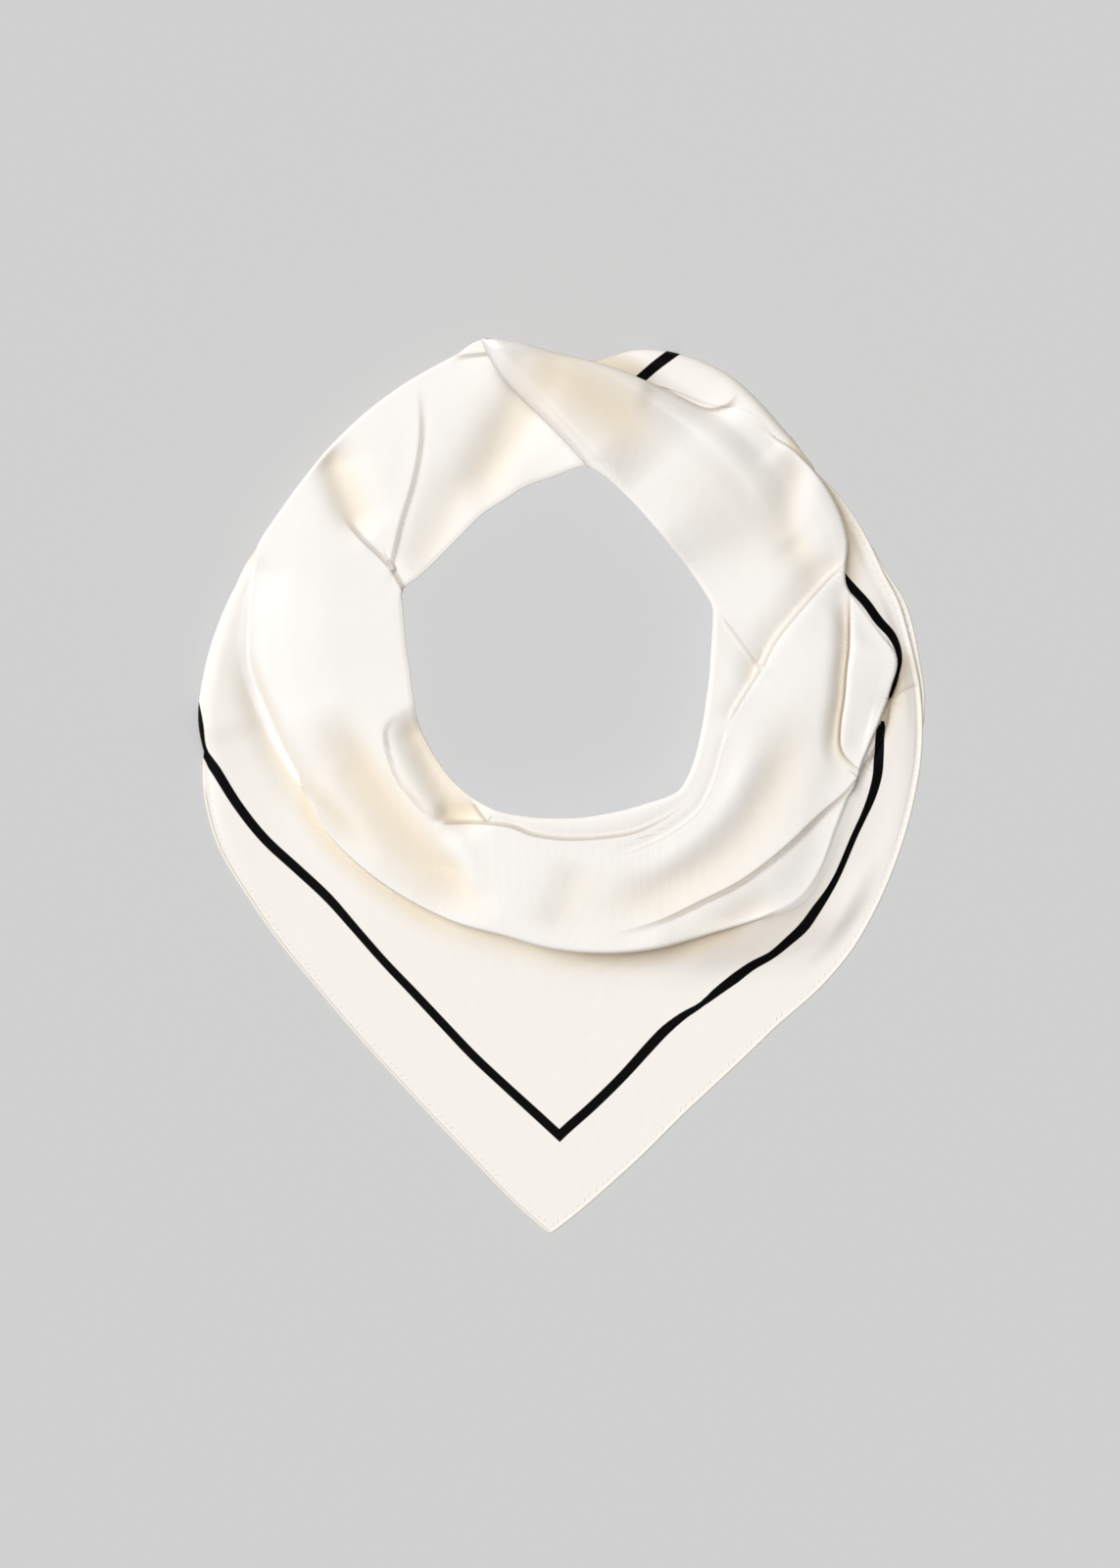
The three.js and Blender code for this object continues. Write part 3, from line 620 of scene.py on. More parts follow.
# %% Points of the cloth
STATIONS = [(FIRST, 85, 10), (85, TIP_ANGLE, 205), (TIP_ANGLE, LAST, 220)]
FLAP_STEPS = 4
PANEL_STEPS = 28
PANEL_CROWDING = 1.35
RETURN_STEPS = 5
COLLAR_STEPS = 57
COLLAR_CROWDING = 0.6
NECK_LINE = 0.3
NECK_TURN = 1
PLEAT_INSET = 4
BACK_STEPS = 5
HEM_WIDTH = 2.5
END_PULL = 2.6
PULL_WITHIN = 6


def station_angles():
    runs = [np.linspace(a, b, n, endpoint=False) for a, b, n in STATIONS]
    return np.concatenate(runs + [[LAST]])[:, None]


def cloth_grid():
    s = measure(station_angles())
    pull = END_PULL * smooth((s.at - LAST + PULL_WITHIN) / PULL_WITHIN)
    places, names, lifts = [], [], []

    def add(radius, z, lift=0, push_x=0, push_y=0, kind="hidden"):
        radius = np.broadcast_to(radius, s.at.shape)
        turn = np.radians(angle_of(s, radius) - (pull if kind == "hidden" else 0))
        x = NECK_X + radius * np.cos(turn) + push_x
        y = NECK_Y + radius * np.sin(turn) + push_y
        places.append(np.stack([x[:, 0], y[:, 0], np.broadcast_to(z, s.at.shape)[:, 0]], axis=1))
        lifts.append(np.broadcast_to(lift, s.at.shape)[:, 0])
        names.append(kind)

    def layer(radius, count):
        return base_height(s, radius) + count * LAYER

    for i in range(FLAP_STEPS):
        radius = lerp(s.hem, s.fold, i / FLAP_STEPS)
        add(radius, layer(radius, 1), kind="panel")
    add(s.fold, layer(s.fold, 1 + s.hidden / 2), kind="panel")
    for i in range(1, PANEL_STEPS):
        radius = lerp(s.fold, s.root, (i / PANEL_STEPS) ** PANEL_CROWDING)
        add(radius, *panel_height(s, radius), kind="panel")
    at_root = panel_height(s, s.root)[0]
    add(s.root, at_root + s.tucked * LAYER / 2, kind="panel")
    for i in range(1, RETURN_STEPS):
        radius = lerp(s.root, s.lip, i / RETURN_STEPS)
        straight = lerp(at_root, lip_height(s), i / RETURN_STEPS)
        over = np.maximum(panel_height(s, radius)[0] + LAYER, straight)
        add(radius, lerp(straight, over, s.tucked), kind="return")
    add(s.lip, lip_height(s), kind="return")
    for i in range(1, COLLAR_STEPS):
        even = i / (COLLAR_STEPS - 1)
        share = lerp(even, (1 - math.cos(math.pi * even)) / 2, COLLAR_CROWDING)
        radius = s.lip - (s.width - NECK_LINE) * share
        add(radius, *collar_height(s, radius), kind="collar")
    add(s.neck, *collar_height(s, s.neck), kind="collar")
    inner = s.neck + PLEAT_INSET
    add(s.neck + NECK_TURN, layer(s.neck + NECK_TURN, 2 * PLEATS))
    for count in range(2 * PLEATS, 0, -1):
        radius = s.pleat if count % 2 == 0 else inner
        add(radius, layer(radius, count))
        add(radius, layer(radius, count - 1))
    for i in range(1, BACK_STEPS + 1):
        radius = lerp(inner, s.back - HEM_WIDTH, i / BACK_STEPS)
        add(radius, layer(radius, 0))
    add(s.back, layer(s.back, 0))
    return s, np.stack(places, axis=1), np.stack(lifts, axis=1), np.array(names)


sections, middle, lifts, column_kind = cloth_grid()
low, high = middle.min(axis=(0, 1)), middle.max(axis=(0, 1))
shift = np.array([*(solid_low + solid_high)[:2] / 2 - (low + high)[:2] / 2, 0])
print("grid:", middle.shape, "low", low.round(1), "high", high.round(1), "shift", shift.round(2))

# %% [markdown]
# ## From a sheet of points to a wall of cloth
#
# The grid is the middle of the cloth. Each point is moved half a thickness out and half a
# thickness in along the normal, and strips close the four edges, so the cloth is a closed body.

# %% The wall
WALL = 0.8
SHARPEST_MITRE = 0.6


def wall(points, half):
    """Vertices and faces of a closed wall round a grid of points."""
    rows, columns = points.shape[:2]
    along = np.gradient(points, axis=0)
    across = np.diff(points, axis=1)
    edge = np.cross(across, along[:, :-1] + along[:, 1:])
    edge /= np.maximum(np.linalg.norm(edge, axis=2, keepdims=True), 1e-9)
    before = np.concatenate([edge[:, :1], edge], axis=1)
    after = np.concatenate([edge, edge[:, -1:]], axis=1)
    mitre = np.maximum(1 + (before * after).sum(axis=2, keepdims=True), SHARPEST_MITRE)
    offset = (before + after) / mitre * half
    skins = np.concatenate([(points + offset).reshape(-1, 3), (points - offset).reshape(-1, 3)])

    index = np.arange(rows * columns).reshape(rows, columns)
    other = index + rows * columns

    def quads(a, b, c, d):
        return np.stack([a, b, c, d], axis=-1).reshape(-1, 4)

    faces = np.concatenate([
        quads(index[:-1, :-1], index[:-1, 1:], index[1:, 1:], index[1:, :-1]),
        quads(other[:-1, :-1], other[1:, :-1], other[1:, 1:], other[:-1, 1:]),
        quads(index[:-1, 0], index[1:, 0], other[1:, 0], other[:-1, 0]),
        quads(index[:-1, -1], other[:-1, -1], other[1:, -1], index[1:, -1]),
        quads(index[0, :-1], other[0, :-1], other[0, 1:], index[0, 1:]),
        quads(index[-1, :-1], index[-1, 1:], other[-1, 1:], other[-1, :-1]),
    ])
    return skins, faces


# %% The silk as a mesh
def add_mesh(name, points_mm, faces, smooth_faces=None):
    """A mesh from points in millimetres; faces past smooth_faces keep crisp edges."""
    mesh = bpy.data.meshes.new(name)
    mesh.from_pydata((np.asarray(points_mm) / MM_IN_METRE).tolist(), [], faces.tolist())
    crisp_from = len(faces) if smooth_faces is None else smooth_faces
    mesh.polygons.foreach_set("use_smooth", [k < crisp_from for k in range(len(faces))])
    mesh.update()
    piece = bpy.data.objects.new(name, mesh)
    bpy.context.collection.objects.link(piece)
    return piece


skins, faces = wall(middle + shift, WALL / 2)
silk = add_mesh("draped_silk", skins, faces, 2 * (middle.shape[0] - 1) * (middle.shape[1] - 1))
print("draped silk:", len(silk.data.vertices), "points,", 2 * len(silk.data.polygons), "triangles")

# %% [markdown]
# ## The printed line
#
# The black line is printed on the cloth, so it has no thickness. Its middle is drawn as paths, one
# for each side of the square, with the width it shows at every point, and every point of the cloth
# learns how many half widths it is away. The shader paints where that number is under one, which
# stays sharp however coarse the mesh is. Where the collar lies over the panel the number is simply
# set far away.

# %% Paths of the line
LEFT_LINE = [(-260, 95, 4.5), (-190, 48, 4.5), (-184.6, 34, 4), (-182.4, 18.4, 3.4), (-176.7, 9.2, 4.8),
             (-165.1, -9.6, 4.6), (-151.4, -26.9, 4.6), (-135.3, -41.8, 4.6), (-119.1, -56.9, 4.5),
             (-104.6, -73.4, 4), (-90.1, -89.9, 3.9), (-74.9, -105.8, 4.1), (-59.9, -121.8, 4.2),
             (-44.7, -137.8, 4.3), (-28.7, -152.8, 4.3), (-12.4, -167.7, 4.5), (-1, -178.2, 4.5),
             (99, -270.5, 4.5)]
RIGHT_LINE = [(-101, -279, 4.7), (-1, -178.2, 4.7), (15.5, -163.4, 4.7), (30.9, -148.3, 4.7),
              (45.7, -132, 5), (53.2, -124.2, 4.9), (61.7, -117.4, 3.8), (71, -111.7, 2.5),
              (79.6, -104.7, 4.2), (88.4, -98, 5.1), (97.1, -91.5, 4.4), (106.8, -86.2, 3.8),
              (115.2, -79.2, 4.4), (123.2, -71.9, 5), (129.7, -62.9, 4.6), (135.8, -54, 3.5),
              (140.9, -44.8, 3.1), (149.4, -24.9, 3.1), (154, -15.2, 3.2), (158.2, -5, 4.1),
              (161, 5.7, 4.6), (161.7, 16.7, 4.9), (162.4, 27.7, 4.4), (163.4, 32.5, 2.2), (163.8, 34, 0.1),
              (166.4, 43, 0.1), (167.2, 45.2, 1.4), (170.5, 55.7, 2.3), (172, 66.4, 2.7), (168.5, 76, 4),
              (161.2, 84.3, 4.6), (155, 93, 4.5), (147.5, 101.2, 4.6), (138, 112, 4.6)]
TOP_LINE = [(34, 201, 4.9), (42, 208.5, 4.9), (48.1, 214, 4.9), (56.9, 220.4, 4.9), (68, 228, 4.9)]
print("points on the line:", len(LEFT_LINE) + len(RIGHT_LINE) + len(TOP_LINE))

# %% Distances to the line
FAR = 20.0
LINE_STEPS = 5
HIDDEN_FROM = 386
TOP_END_FROM = 400


def signed_share(rows, x, y):
    """Distance to the middle of the line in half widths, positive on the left of its path."""
    rows = np.array(rows, float)
    path = smooth_path(rows[:, :2], LINE_STEPS)
    distance, side, along = nearest_on(path, x, y)[:3]
    where = np.concatenate([[0], np.cumsum(np.hypot(*np.diff(rows[:, :2], axis=0).T))])
    wide = np.interp(along, where / where[-1], rows[:, 2])
    return np.clip(distance * side / (wide / 2), -FAR, FAR)


def line_distances():
    x, y = middle[:, :, 0], middle[:, :, 1]
    angle = np.broadcast_to(sections.at, x.shape)
    # The printed line runs left to right under the point, so inside is on the left of both paths
    left = signed_share(LEFT_LINE, x, y)
    right = np.where(angle < HIDDEN_FROM, signed_share(RIGHT_LINE, x, y), -FAR)
    right = np.where(angle > TOP_END_FROM, signed_share(TOP_LINE, x, y), right)
    on_collar = np.isin(column_kind, ["return", "collar"])[None, :]
    covered = on_collar * np.where(angle > HIDDEN_FROM, 1.0, sections.tucked)
    left, right = lerp(left, FAR, covered), lerp(right, FAR, covered)
    hidden = column_kind == "hidden"
    left[:, hidden], right[:, hidden] = FAR, FAR
    return left, right


line_left, line_right = line_distances()
black = np.abs(np.minimum(line_left, line_right)) < 1
print("black points, percent:", round(100 * float(black.mean()), 2))

# %% [markdown]
# ## Shade in the folds
#
# Silk that lies in a hollow, at the foot of a crease or under the lip of the collar looks warmer
# and darker, because most of its light comes off other silk. The folds give part of that shade by
# themselves, but less than the real scarf has. So the cloth learns where it lies in a hollow, how
# near it is to a crease and how deep it lies under the lip, and the shader paints the rest of the
# shade there, deepening the colour a little.

# %% Creases and hollows
SLIT_REACH = 4.0


def slit_distances():
    """Distance to the nearest crease in millimetres, negative on its low side, and how dark its painted
    shade is.
    """
    x, y = middle[:, :, 0], middle[:, :, 1]
    nearest, signed, dark = np.full(x.shape, np.inf), np.full(x.shape, SLIT_REACH), np.zeros(x.shape)
    for fold, path in zip(FOLDS, FOLD_PATHS):
        if fold.slit == 0 or fold.left == fold.right:
            continue
        distance, side, along = nearest_on(path, x, y)[:3]
        strength = fold.slit * strength_along(sections.at, along, fold)
        closer = (distance < nearest) & (strength > 0)
        nearest = np.where(closer, distance, nearest)
        signed = np.where(closer, distance * (side if fold.left > fold.right else -side), signed)
        dark = np.where(closer, strength * (distance < SLIT_REACH), dark)
    dark[:, column_kind == "hidden"] = 0
    return np.clip(signed, -SLIT_REACH, SLIT_REACH), dark


def painted_fold_shade():
    """How much painted shade, warmer and darker, the ridges and hollows that ask for it get."""
    x, y = middle[:, :, 0], middle[:, :, 1]
    shade_amount = np.zeros(x.shape)
    for fold, path in zip(FOLDS, FOLD_PATHS):
        if fold.slit > 0 and fold.left == fold.right:
            distance, _, along = nearest_on(path, x, y)[:3]
            strength = fold.slit * strength_along(sections.at, along, fold)
            shade_amount += strength * np.exp(-((distance / fold.wide_left) ** 2))
    return shade_amount


# %% Shade under the lip
LIP_GAP_REACH = 9.0
LIP_GAP_SPREAD = 20.0
LIP_GAP_DARK = 0.5
LIP_GAP_FROM, LIP_GAP_FADE_IN = 262, 20
LIP_GAP_TO, LIP_GAP_FADE_OUT = 322, 12
BROAD_FROM, BROAD_WITHIN = 282, 16
SPREAD_FROM, SPREAD_WITHIN = 276, 36
NARROW_POWER, BROAD_POWER = 2, 0.7
BROAD_DARK = 0.6


def gap_to_lip():
    """How far a point lies outside the lip of the collar."""
    x, y = middle[:, :, 0] - NECK_X, middle[:, :, 1] - NECK_Y
    return np.maximum(np.hypot(x, y) - sections.lip, 0)


def shade_under_lip():
    """How darkly shade is painted on the panel beside the front of the collar: narrow in the middle, broad
    on the right.
    """
    at = sections.at
    front = smooth((at - LIP_GAP_FROM) / LIP_GAP_FADE_IN) * smooth((LIP_GAP_TO - at) / LIP_GAP_FADE_OUT)
    broad = smooth((at - BROAD_FROM) / BROAD_WITHIN)
    reach = LIP_GAP_REACH + LIP_GAP_SPREAD * clamp01((at - SPREAD_FROM) / SPREAD_WITHIN)
    near = clamp01(1 - gap_to_lip() / reach) ** lerp(NARROW_POWER, BROAD_POWER, broad)
    return LIP_GAP_DARK * lerp(1, BROAD_DARK, broad) * (column_kind == "panel") * front * near


# %% Write the numbers on the cloth
# Scale of the painted shade: full in a hollow this deep, beside the lip within this reach, and a little
# over all of the panel
DEEP_HOLLOW = 8.0
LIP_SHADE = 12.0
PANEL_SHADE = 0.15


def write_attribute(piece, name, values):
    attribute = piece.data.attributes.new(name, "FLOAT", "POINT")
    attribute.data.foreach_set("value", np.asarray(values, np.float32).ravel())


slit_distance, slit_dark = slit_distances()
# Painted shade in the hollows, under the lip, along the folds that ask for it, and a little over all of the
# panel
under_lip = (column_kind == "panel") * sections.tucked * clamp01(1 - gap_to_lip() / LIP_SHADE)
hollow = clamp01(-lifts / DEEP_HOLLOW) + under_lip + painted_fold_shade()
hollow += PANEL_SHADE * (column_kind == "panel")
ATTRIBUTES = {
    "line_left": line_left,
    "line_right": line_right,
    "hollow": clamp01(hollow),
    "slit_distance": slit_distance,
    "slit_dark": slit_dark,
    "lip_shade": shade_under_lip(),
}
for name, values in ATTRIBUTES.items():
    write_attribute(silk, name, np.concatenate([values.ravel(), values.ravel()]))
print("attributes:", ", ".join(ATTRIBUTES))

# %% [markdown]
# ## The run of the weave
#
# Threads turn with the cloth, so a pattern in plain space would slide over the folds. A UV map in
# centimetres, measured along the cloth itself, carries the weave with it.

# %% Where the weave runs
MM_IN_CM = 10


def write_cloth_coordinates():
    """A UV map in centimetres: one way round the scarf, the other way from hem to hem."""
    steps = np.linalg.norm(np.diff(middle, axis=1), axis=2)
    across = np.concatenate([np.zeros((len(middle), 1)), np.cumsum(steps, axis=1)], axis=1)
    turns = np.linalg.norm(np.diff(middle, axis=0), axis=2).mean(axis=1)
    along = np.broadcast_to(np.concatenate([[0], np.cumsum(turns)])[:, None], across.shape)
    points = np.tile(np.stack([along, across], axis=-1).reshape(-1, 2) / MM_IN_CM, (2, 1))
    corners = np.array([loop.vertex_index for loop in silk.data.loops])
    silk.data.uv_layers.new(name="cloth").data.foreach_set("uv", points[corners].astype(np.float32).ravel())
    return points.max(axis=0)


print("cloth coordinates reach, cm:", write_cloth_coordinates().round(1))

# %% [markdown]
# ## The rolled hem
#
# The edge of the square is rolled over by hand into a thin cord and held with small slip stitches.
# Only where the hem shows is it worth building: along the open edge of the front panel, and along
# the layer beneath where it looks out on the right. Both are round cords that thin out at their
# ends. Each stitch is a short thread from the cord down to the cloth beside it.

# %% A round cord
def tube(path, radius, sides):
    """A closed round cord along a path: its points, and triangles that face outward."""
    tangent = np.gradient(path, axis=0)
    tangent /= np.linalg.norm(tangent, axis=1, keepdims=True)
    across = np.cross(tangent, [0, 0, 1])
    across /= np.linalg.norm(across, axis=1, keepdims=True)
    up = np.cross(across, tangent)
    turn = 2 * np.pi * np.arange(sides)[None, :, None] / sides
    spoke = np.cos(turn) * across[:, None] + np.sin(turn) * up[:, None]
    rings = path[:, None] + radius[:, None, None] * spoke
    points = np.concatenate([rings.reshape(-1, 3), path[:1], path[-1:]])
    here = np.arange(len(path) * sides).reshape(-1, sides)
    there = np.roll(here, -1, axis=1)
    start, end = np.full(sides, here.size), np.full(sides, here.size + 1)
    return points, np.concatenate([
        np.stack([here[:-1], here[1:], there[1:]], axis=-1).reshape(-1, 3),
        np.stack([here[:-1], there[1:], there[:-1]], axis=-1).reshape(-1, 3),
        np.stack([start, here[0], there[0]], axis=-1),
        np.stack([end, there[-1], here[-1]], axis=-1),
    ])


def joined(parts):
    """Several meshes as one list of points and one of faces."""
    starts = np.cumsum([0] + [len(points) for points, _ in parts[:-1]])
    points = np.concatenate([points for points, _ in parts])
    return points, np.concatenate([faces + start for (_, faces), start in zip(parts, starts)])


# %% The cord of the hem
HEM_RADIUS = 0.85
HEM_STEP = 1.6
HEM_INSET = 0.5
HEM_SAMPLES = 1500
HEM_SIDES = 8
HEM_TAPER = 4
HEM_THINNEST = 0.1
FRONT_HEM = (203, 396)
UNDER_HEM = (346, 404)
UNDER_HEM_LIFT = 0.4


def hem_line(edge, first, last, lift):
    """Evenly spaced points along a hem between two angles, HEM_STEP apart."""
    at = np.linspace(first, last, HEM_SAMPLES)[:, None]
    s = measure(at)
    radius = getattr(s, edge) - HEM_INSET
    x, y = plan_point(s, radius)
    z = base_height(s, radius) + lift
    line = np.concatenate([x, y, z], axis=1)
    along = np.concatenate([[0], np.cumsum(np.linalg.norm(np.diff(line, axis=0), axis=1))])
    even = np.linspace(0, along[-1], int(along[-1] / HEM_STEP) + 1)
    return np.column_stack([np.interp(even, along, line[:, k]) for k in range(3)])


def hem_cord(line):
    ends = np.minimum(np.arange(len(line)), np.arange(len(line))[::-1]) / HEM_TAPER
    return tube(line, HEM_RADIUS * np.maximum(roll(ends), HEM_THINNEST), HEM_SIDES)


front_hem = hem_line("hem", *FRONT_HEM, LAYER)
under_hem = hem_line("back", *UNDER_HEM, UNDER_HEM_LIFT)
cord_points, cord_faces = joined([hem_cord(front_hem), hem_cord(under_hem)])
hem = add_mesh("rolled_hem", cord_points + shift, cord_faces)
print("hem:", len(cord_faces), "triangles")

# %% The stitches
STITCH_PITCH = 4.2
STITCH_LENGTH = 2.0
STITCH_RADIUS = 0.15
STITCH_INSET = 2.5
STITCH_SIDES = 6
STITCH_FORWARD, STITCH_INWARD = 0.6, 0.8
STITCH_ARCH = 0.1
STITCH_RINGS = np.array([-1, -0.8, 0, 0.8, 1])
STITCH_TAPER = np.array([0.4, 1, 1.1, 1, 0.4])
STITCH_END_GAP = 3


def hem_stitches(line):
    """Slanting threads from the cord onto the cloth, on its inner side."""
    every = STITCH_PITCH / HEM_STEP
    parts = []
    for where in np.arange(STITCH_END_GAP, len(line) - STITCH_END_GAP - 1, every):
        i = int(where)
        forward = line[i + 1] - line[i]
        forward[2] = 0
        forward /= np.linalg.norm(forward)
        inward = np.array([-forward[1], forward[0], 0])
        middle_point = line[i] + inward * STITCH_INSET + [0, 0, WALL / 2]
        reach = (STITCH_FORWARD * forward + STITCH_INWARD * inward) * STITCH_LENGTH / 2
        share = STITCH_RINGS[:, None]
        path = middle_point + reach * share + np.array([0, 0, STITCH_ARCH]) * (1 - share ** 2)
        parts.append(tube(path, STITCH_RADIUS * STITCH_TAPER, STITCH_SIDES))
    return parts


thread_points, thread_faces = joined(hem_stitches(front_hem) + hem_stitches(under_hem))
stitches = add_mesh("hem_stitches", thread_points + shift, thread_faces)
print("stitches:", len(thread_faces), "triangles")

# %% [markdown]
# ## Colours and nodes
#
# Colours are written the way a painter's tool shows them, as sRGB hex. One function turns them
# into the linear numbers that a shader wants, and one small function adds a node.

# %% Helpers for materials
def linear(hex_colour):
    parts = [int(hex_colour[i:i + 2], 16) / 255 for i in (1, 3, 5)]
    return [c / 12.92 if c <= 0.04045 else ((c + 0.055) / 1.055) ** 2.4 for c in parts] + [1.0]


def new_material(name):
    material = bpy.data.materials.new(name)
    material.use_nodes = True
    return material, material.node_tree.nodes["Principled BSDF"]


def add_node(tree, kind, inputs=(), **settings):
    """Adds a node. inputs maps a socket's name or number to a value or to another node's output."""
    node = tree.nodes.new(kind)
    for name, value in settings.items():
        setattr(node, name, value)
    for socket, value in dict(inputs).items():
        if isinstance(value, bpy.types.NodeSocket):
            tree.links.new(value, node.inputs[socket])
        else:
            node.inputs[socket].default_value = value
    return node


# %% [markdown]
# ## Silk satin
#
# Satin is woven so that long threads float over the surface, which gives silk its soft, broad
# sheen. Undyed silk is a warm ivory: light that goes into a fold bounces off it several times and
# comes out warmer each time, so the hollows look cream while the tops look nearly white. Here that
# cream, the brown in the creases and the dark under the lip are painted shade in the colour.

# %% Colour of the silk
SILK = "#F9F7F4"
# Painted shade: a cream mixed in where the cloth lies in a hollow, and a brown beside the creases and under
# the lip of the collar
PAINTED_WARM_SHADE = "#F1E6D3"
INK = "#050506"
PAINTED_DEEP_SHADE = "#A8947A"
# Width and falloff of the painted shade beside a crease
INK_EDGE = 1.14
SLIT_SHADE = 3.0
SLIT_LOW_END = 0.2
SLIT_HIGH_EDGE = (0.5, 1.3)
SLIT_POWER = 2.0


def map_range(tree, value, from_min, from_max, to_min, to_max):
    return add_node(tree, "ShaderNodeMapRange", {
        "Value": value,
        "From Min": from_min,
        "From Max": from_max,
        "To Min": to_min,
        "To Max": to_max,
    }).outputs[0]


def edge_mask(tree, distance, inner, outer):
    """1 nearer to a line than inner, 0 farther than outer."""
    size = add_node(tree, "ShaderNodeMath", {0: distance}, operation="ABSOLUTE")
    return map_range(tree, size.outputs[0], inner, outer, 1.0, 0.0)


def silk_colour(tree):
    """Ivory with painted shade, cream in the hollows and brown in the creases and under the lip, and black
    where the line is.
    """
    left = add_node(tree, "ShaderNodeAttribute", attribute_name="line_left")
    right = add_node(tree, "ShaderNodeAttribute", attribute_name="line_right")
    nearest = add_node(tree, "ShaderNodeMath", {0: left.outputs["Fac"], 1: right.outputs["Fac"]},
                       operation="MINIMUM")
    ink = edge_mask(tree, nearest.outputs[0], 1.0, INK_EDGE)
    # Painted shade: cream where the cloth lies in a hollow
    hollow = add_node(tree, "ShaderNodeAttribute", attribute_name="hollow")
    shaded = add_node(tree, "ShaderNodeMix", {
        "Factor": hollow.outputs["Fac"],
        "A": linear(SILK),
        "B": linear(PAINTED_WARM_SHADE),
    }, data_type="RGBA")
    # Painted shade: brown beside the creases and under the lip of the collar
    slit = add_node(tree, "ShaderNodeAttribute", attribute_name="slit_distance")
    dark = add_node(tree, "ShaderNodeAttribute", attribute_name="slit_dark")
    low_side = map_range(tree, slit.outputs["Fac"], -SLIT_SHADE, SLIT_LOW_END, 0.0, 1.0)
    shade = add_node(tree, "ShaderNodeMath", {0: low_side, 1: SLIT_POWER}, operation="POWER").outputs[0]
    high_side = map_range(tree, slit.outputs["Fac"], *SLIT_HIGH_EDGE, 1.0, 0.0)
    mask = add_node(tree, "ShaderNodeMath", {0: shade, 1: high_side}, operation="MULTIPLY").outputs[0]
    lip = add_node(tree, "ShaderNodeAttribute", attribute_name="lip_shade")
    depth = add_node(tree, "ShaderNodeMath", {0: mask, 1: dark.outputs["Fac"], 2: lip.outputs["Fac"]},
                     operation="MULTIPLY_ADD")
    creased = add_node(tree, "ShaderNodeMix", {
        "Factor": depth.outputs[0],
        "A": shaded.outputs["Result"],
        "B": linear(PAINTED_DEEP_SHADE),
    }, data_type="RGBA")
    colour = add_node(tree, "ShaderNodeMix", {
        "Factor": ink,
        "A": creased.outputs["Result"],
        "B": linear(INK),
    }, data_type="RGBA")
    return colour.outputs["Result"]


# %% Waves and threads of the silk
RIPPLES_PER_CM = 1.1
THREADS_PER_CM = (9.0, 60.0, 1.0)
WAVE_STRENGTH = 0.2
WAVE_HEIGHT = 0.0009
WEAVE_STRENGTH = 0.06
WEAVE_HEIGHT = 0.00004


def silk_normal(tree):
    """Soft waves, and on top of them the threads, long one way and close the other."""
    cloth = add_node(tree, "ShaderNodeUVMap", uv_map="cloth")
    soft = add_node(tree, "ShaderNodeTexNoise", {
        "Vector": cloth.outputs["UV"],
        "Scale": RIPPLES_PER_CM,
        "Detail": 2.0,
    })
    threads = add_node(tree, "ShaderNodeTexNoise", {
        "Vector": add_node(tree, "ShaderNodeMapping", {
            "Vector": cloth.outputs["UV"],
            "Scale": THREADS_PER_CM,
        }).outputs["Vector"],
        "Scale": 1.0,
        "Detail": 1.0,
    })
    waves = add_node(tree, "ShaderNodeBump", {
        "Strength": WAVE_STRENGTH,
        "Distance": WAVE_HEIGHT,
        "Height": soft.outputs["Fac"],
    })
    weave = add_node(tree, "ShaderNodeBump", {
        "Strength": WEAVE_STRENGTH,
        "Distance": WEAVE_HEIGHT,
        "Height": threads.outputs["Fac"],
        "Normal": waves.outputs["Normal"],
    })
    return weave.outputs["Normal"]


# %% Silk and thread
THREAD = "#F3EEE6"
SATIN_ROUGHNESS = 0.5
SATIN_SPECULAR = 0.06
THREAD_SPECULAR = 0.1


def make_silk_material():
    material, shader = new_material("ivory_silk_satin")
    tree = material.node_tree
    tree.links.new(silk_colour(tree), shader.inputs["Base Color"])
    tree.links.new(silk_normal(tree), shader.inputs["Normal"])
    shader.inputs["Roughness"].default_value = SATIN_ROUGHNESS
    shader.inputs["Specular IOR Level"].default_value = SATIN_SPECULAR
    return material


def make_thread_material():
    material, shader = new_material("ivory_silk_thread")
    shader.inputs["Base Color"].default_value = linear(THREAD)
    shader.inputs["Roughness"].default_value = SATIN_ROUGHNESS
    shader.inputs["Specular IOR Level"].default_value = THREAD_SPECULAR
    return material


silk.data.materials.append(make_silk_material())
thread = make_thread_material()
for piece in (hem, stitches):
    piece.data.materials.append(thread)
print("materials:", ", ".join(material.name for material in (silk.data.materials[0], thread)))

# %% [markdown]
# ## Floor, light and camera
#
# The scarf lies on a plain pale table and is seen from straight above. The light is a wide soft
# box and a bright room, so shadows are only found where one layer lies close over another. The
# table has a light of its own, which the cloth does not block, so no dark rim is drawn round it.

# %% Table
TABLE_SIZE = 12
TABLE_GREY = "#A6A6A6"
TABLE_ROUGHNESS = 0.9
TABLE_SPECULAR = 0.1


def add_floor():
    bpy.ops.object.select_all(action="DESELECT")
    bpy.ops.mesh.primitive_plane_add(size=TABLE_SIZE, location=(0, 0, 0))
    floor = bpy.context.object
    floor.name = "floor"
    material, shader = new_material("plain_pale_table")
    shader.inputs["Base Color"].default_value = linear(TABLE_GREY)
    shader.inputs["Roughness"].default_value = TABLE_ROUGHNESS
    shader.inputs["Specular IOR Level"].default_value = TABLE_SPECULAR
    floor.data.materials.append(material)
    return floor


floor = add_floor()
print("table, m:", TABLE_SIZE)

# %% Light
KEY_COLOUR = (0.985, 0.99, 1.0)
TABLE_LIGHT_COLOUR = (0.975, 0.985, 1.0)
ROOM_COLOUR = (1.0, 0.95, 0.885, 1)
ROOM_STRENGTH = 0.38


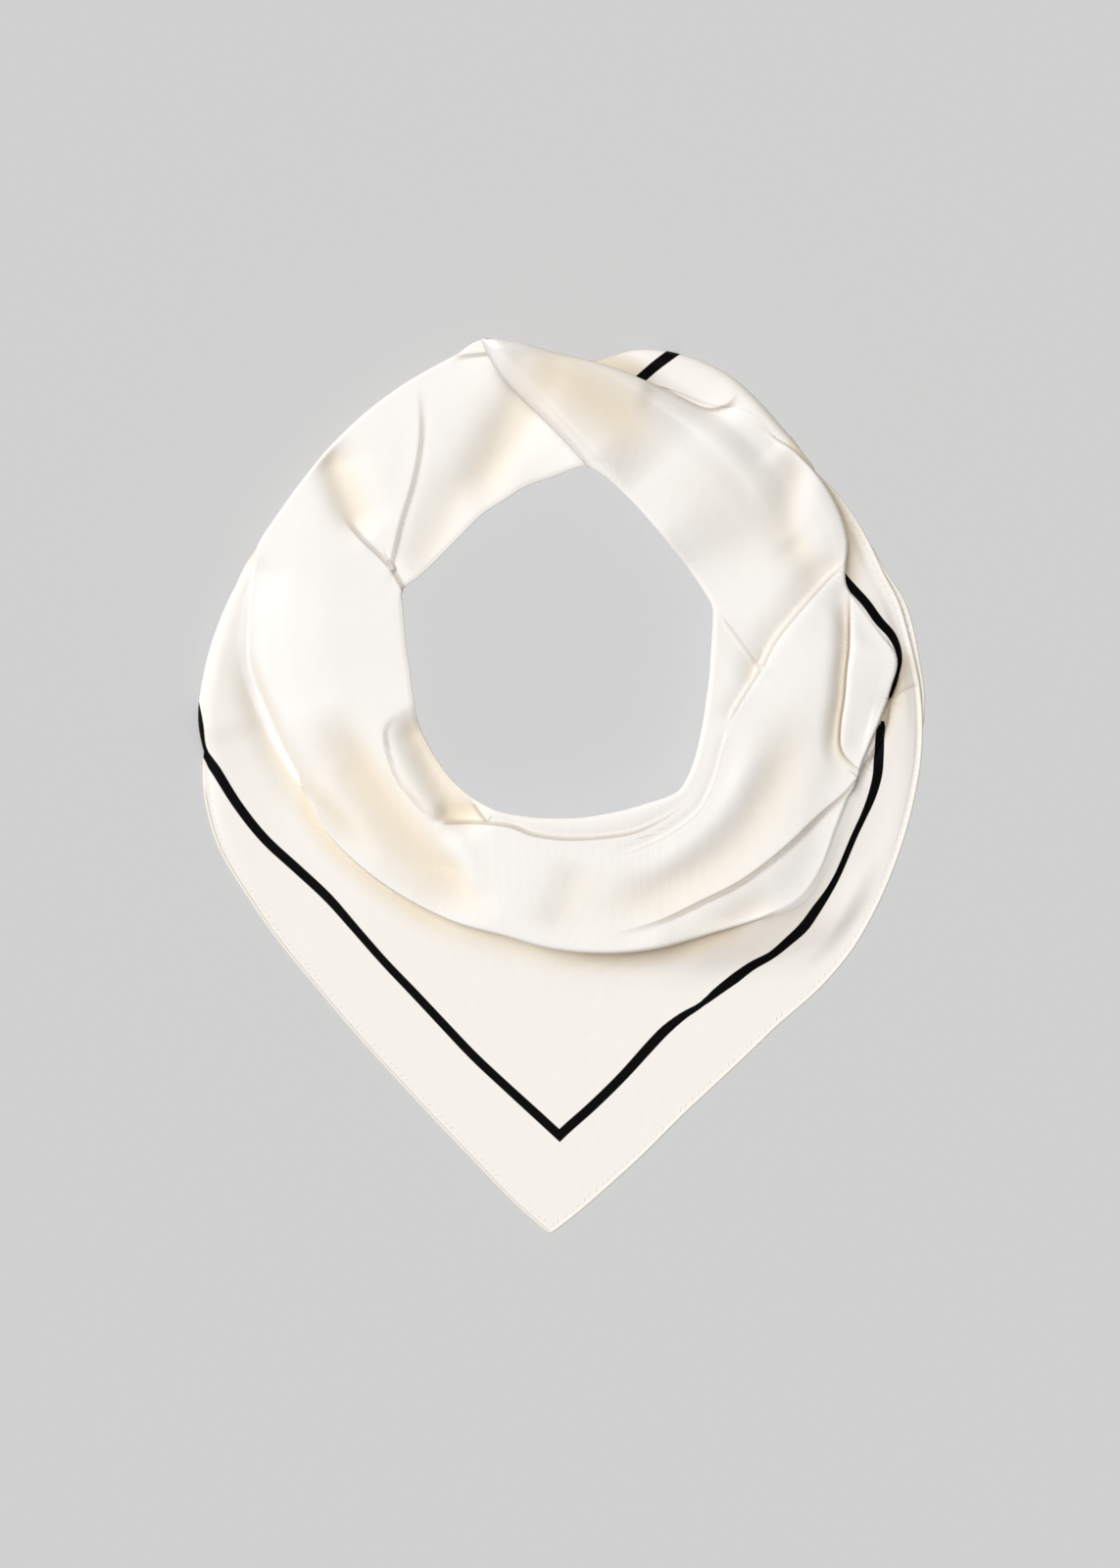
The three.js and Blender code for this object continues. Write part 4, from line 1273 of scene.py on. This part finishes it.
def add_softbox(name, azimuth, elevation, angle, strength, colour, lit):
    """A wide, far light: a sun lamp as wide as a big softbox, so all of the cloth is lit evenly."""
    data = bpy.data.lights.new(name, "SUN")
    data.energy = strength
    data.color = colour
    data.angle = math.radians(angle)
    light = bpy.data.objects.new(name, data)
    bpy.context.collection.objects.link(light)
    light.rotation_euler = (0, math.radians(90 - elevation), math.radians(azimuth))
    group = bpy.data.collections.new(name + "_lights")
    for piece in lit:
        group.objects.link(piece)
    light.light_linking.receiver_collection = group
    light.light_linking.blocker_collection = group


add_softbox("key_softbox", azimuth=156, elevation=52, angle=50, strength=2.46, colour=KEY_COLOUR,
            lit=[silk, hem, stitches])
add_softbox("table_light", azimuth=135, elevation=88, angle=10, strength=4.12, colour=TABLE_LIGHT_COLOUR,
            lit=[floor])
world = bpy.data.worlds.new("bright_room")
bpy.context.scene.world = world
world.use_nodes = True
background = world.node_tree.nodes["Background"]
background.inputs["Color"].default_value = ROOM_COLOUR
background.inputs["Strength"].default_value = ROOM_STRENGTH
bpy.context.scene.view_settings.view_transform = "Standard"
print("lights:", ", ".join(light.name for light in bpy.data.lights))

# %% Camera
VIEW_HEIGHT = 0.8
CAMERA_HEIGHT = 3.0
SENSOR = 36.0
VIEW_CENTRE = (-0.75, 1.0)


def add_camera():
    data = bpy.data.cameras.new("camera")
    camera = bpy.data.objects.new("camera", data)
    bpy.context.collection.objects.link(camera)
    data.sensor_width = SENSOR
    data.lens = SENSOR * CAMERA_HEIGHT / VIEW_HEIGHT
    centre = np.array(VIEW_CENTRE) + shift[:2]
    camera.location = (centre[0] / MM_IN_METRE, centre[1] / MM_IN_METRE, CAMERA_HEIGHT)
    bpy.context.scene.camera = camera


add_camera()
print("camera at", tuple(round(v, 4) for v in bpy.context.scene.camera.location))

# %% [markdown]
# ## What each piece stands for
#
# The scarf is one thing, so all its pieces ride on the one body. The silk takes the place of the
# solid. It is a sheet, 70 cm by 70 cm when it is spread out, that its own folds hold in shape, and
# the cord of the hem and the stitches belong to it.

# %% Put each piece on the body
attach(silk, "root")
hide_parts("silk_square")
for piece in (hem, stitches):
    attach(piece, "root")
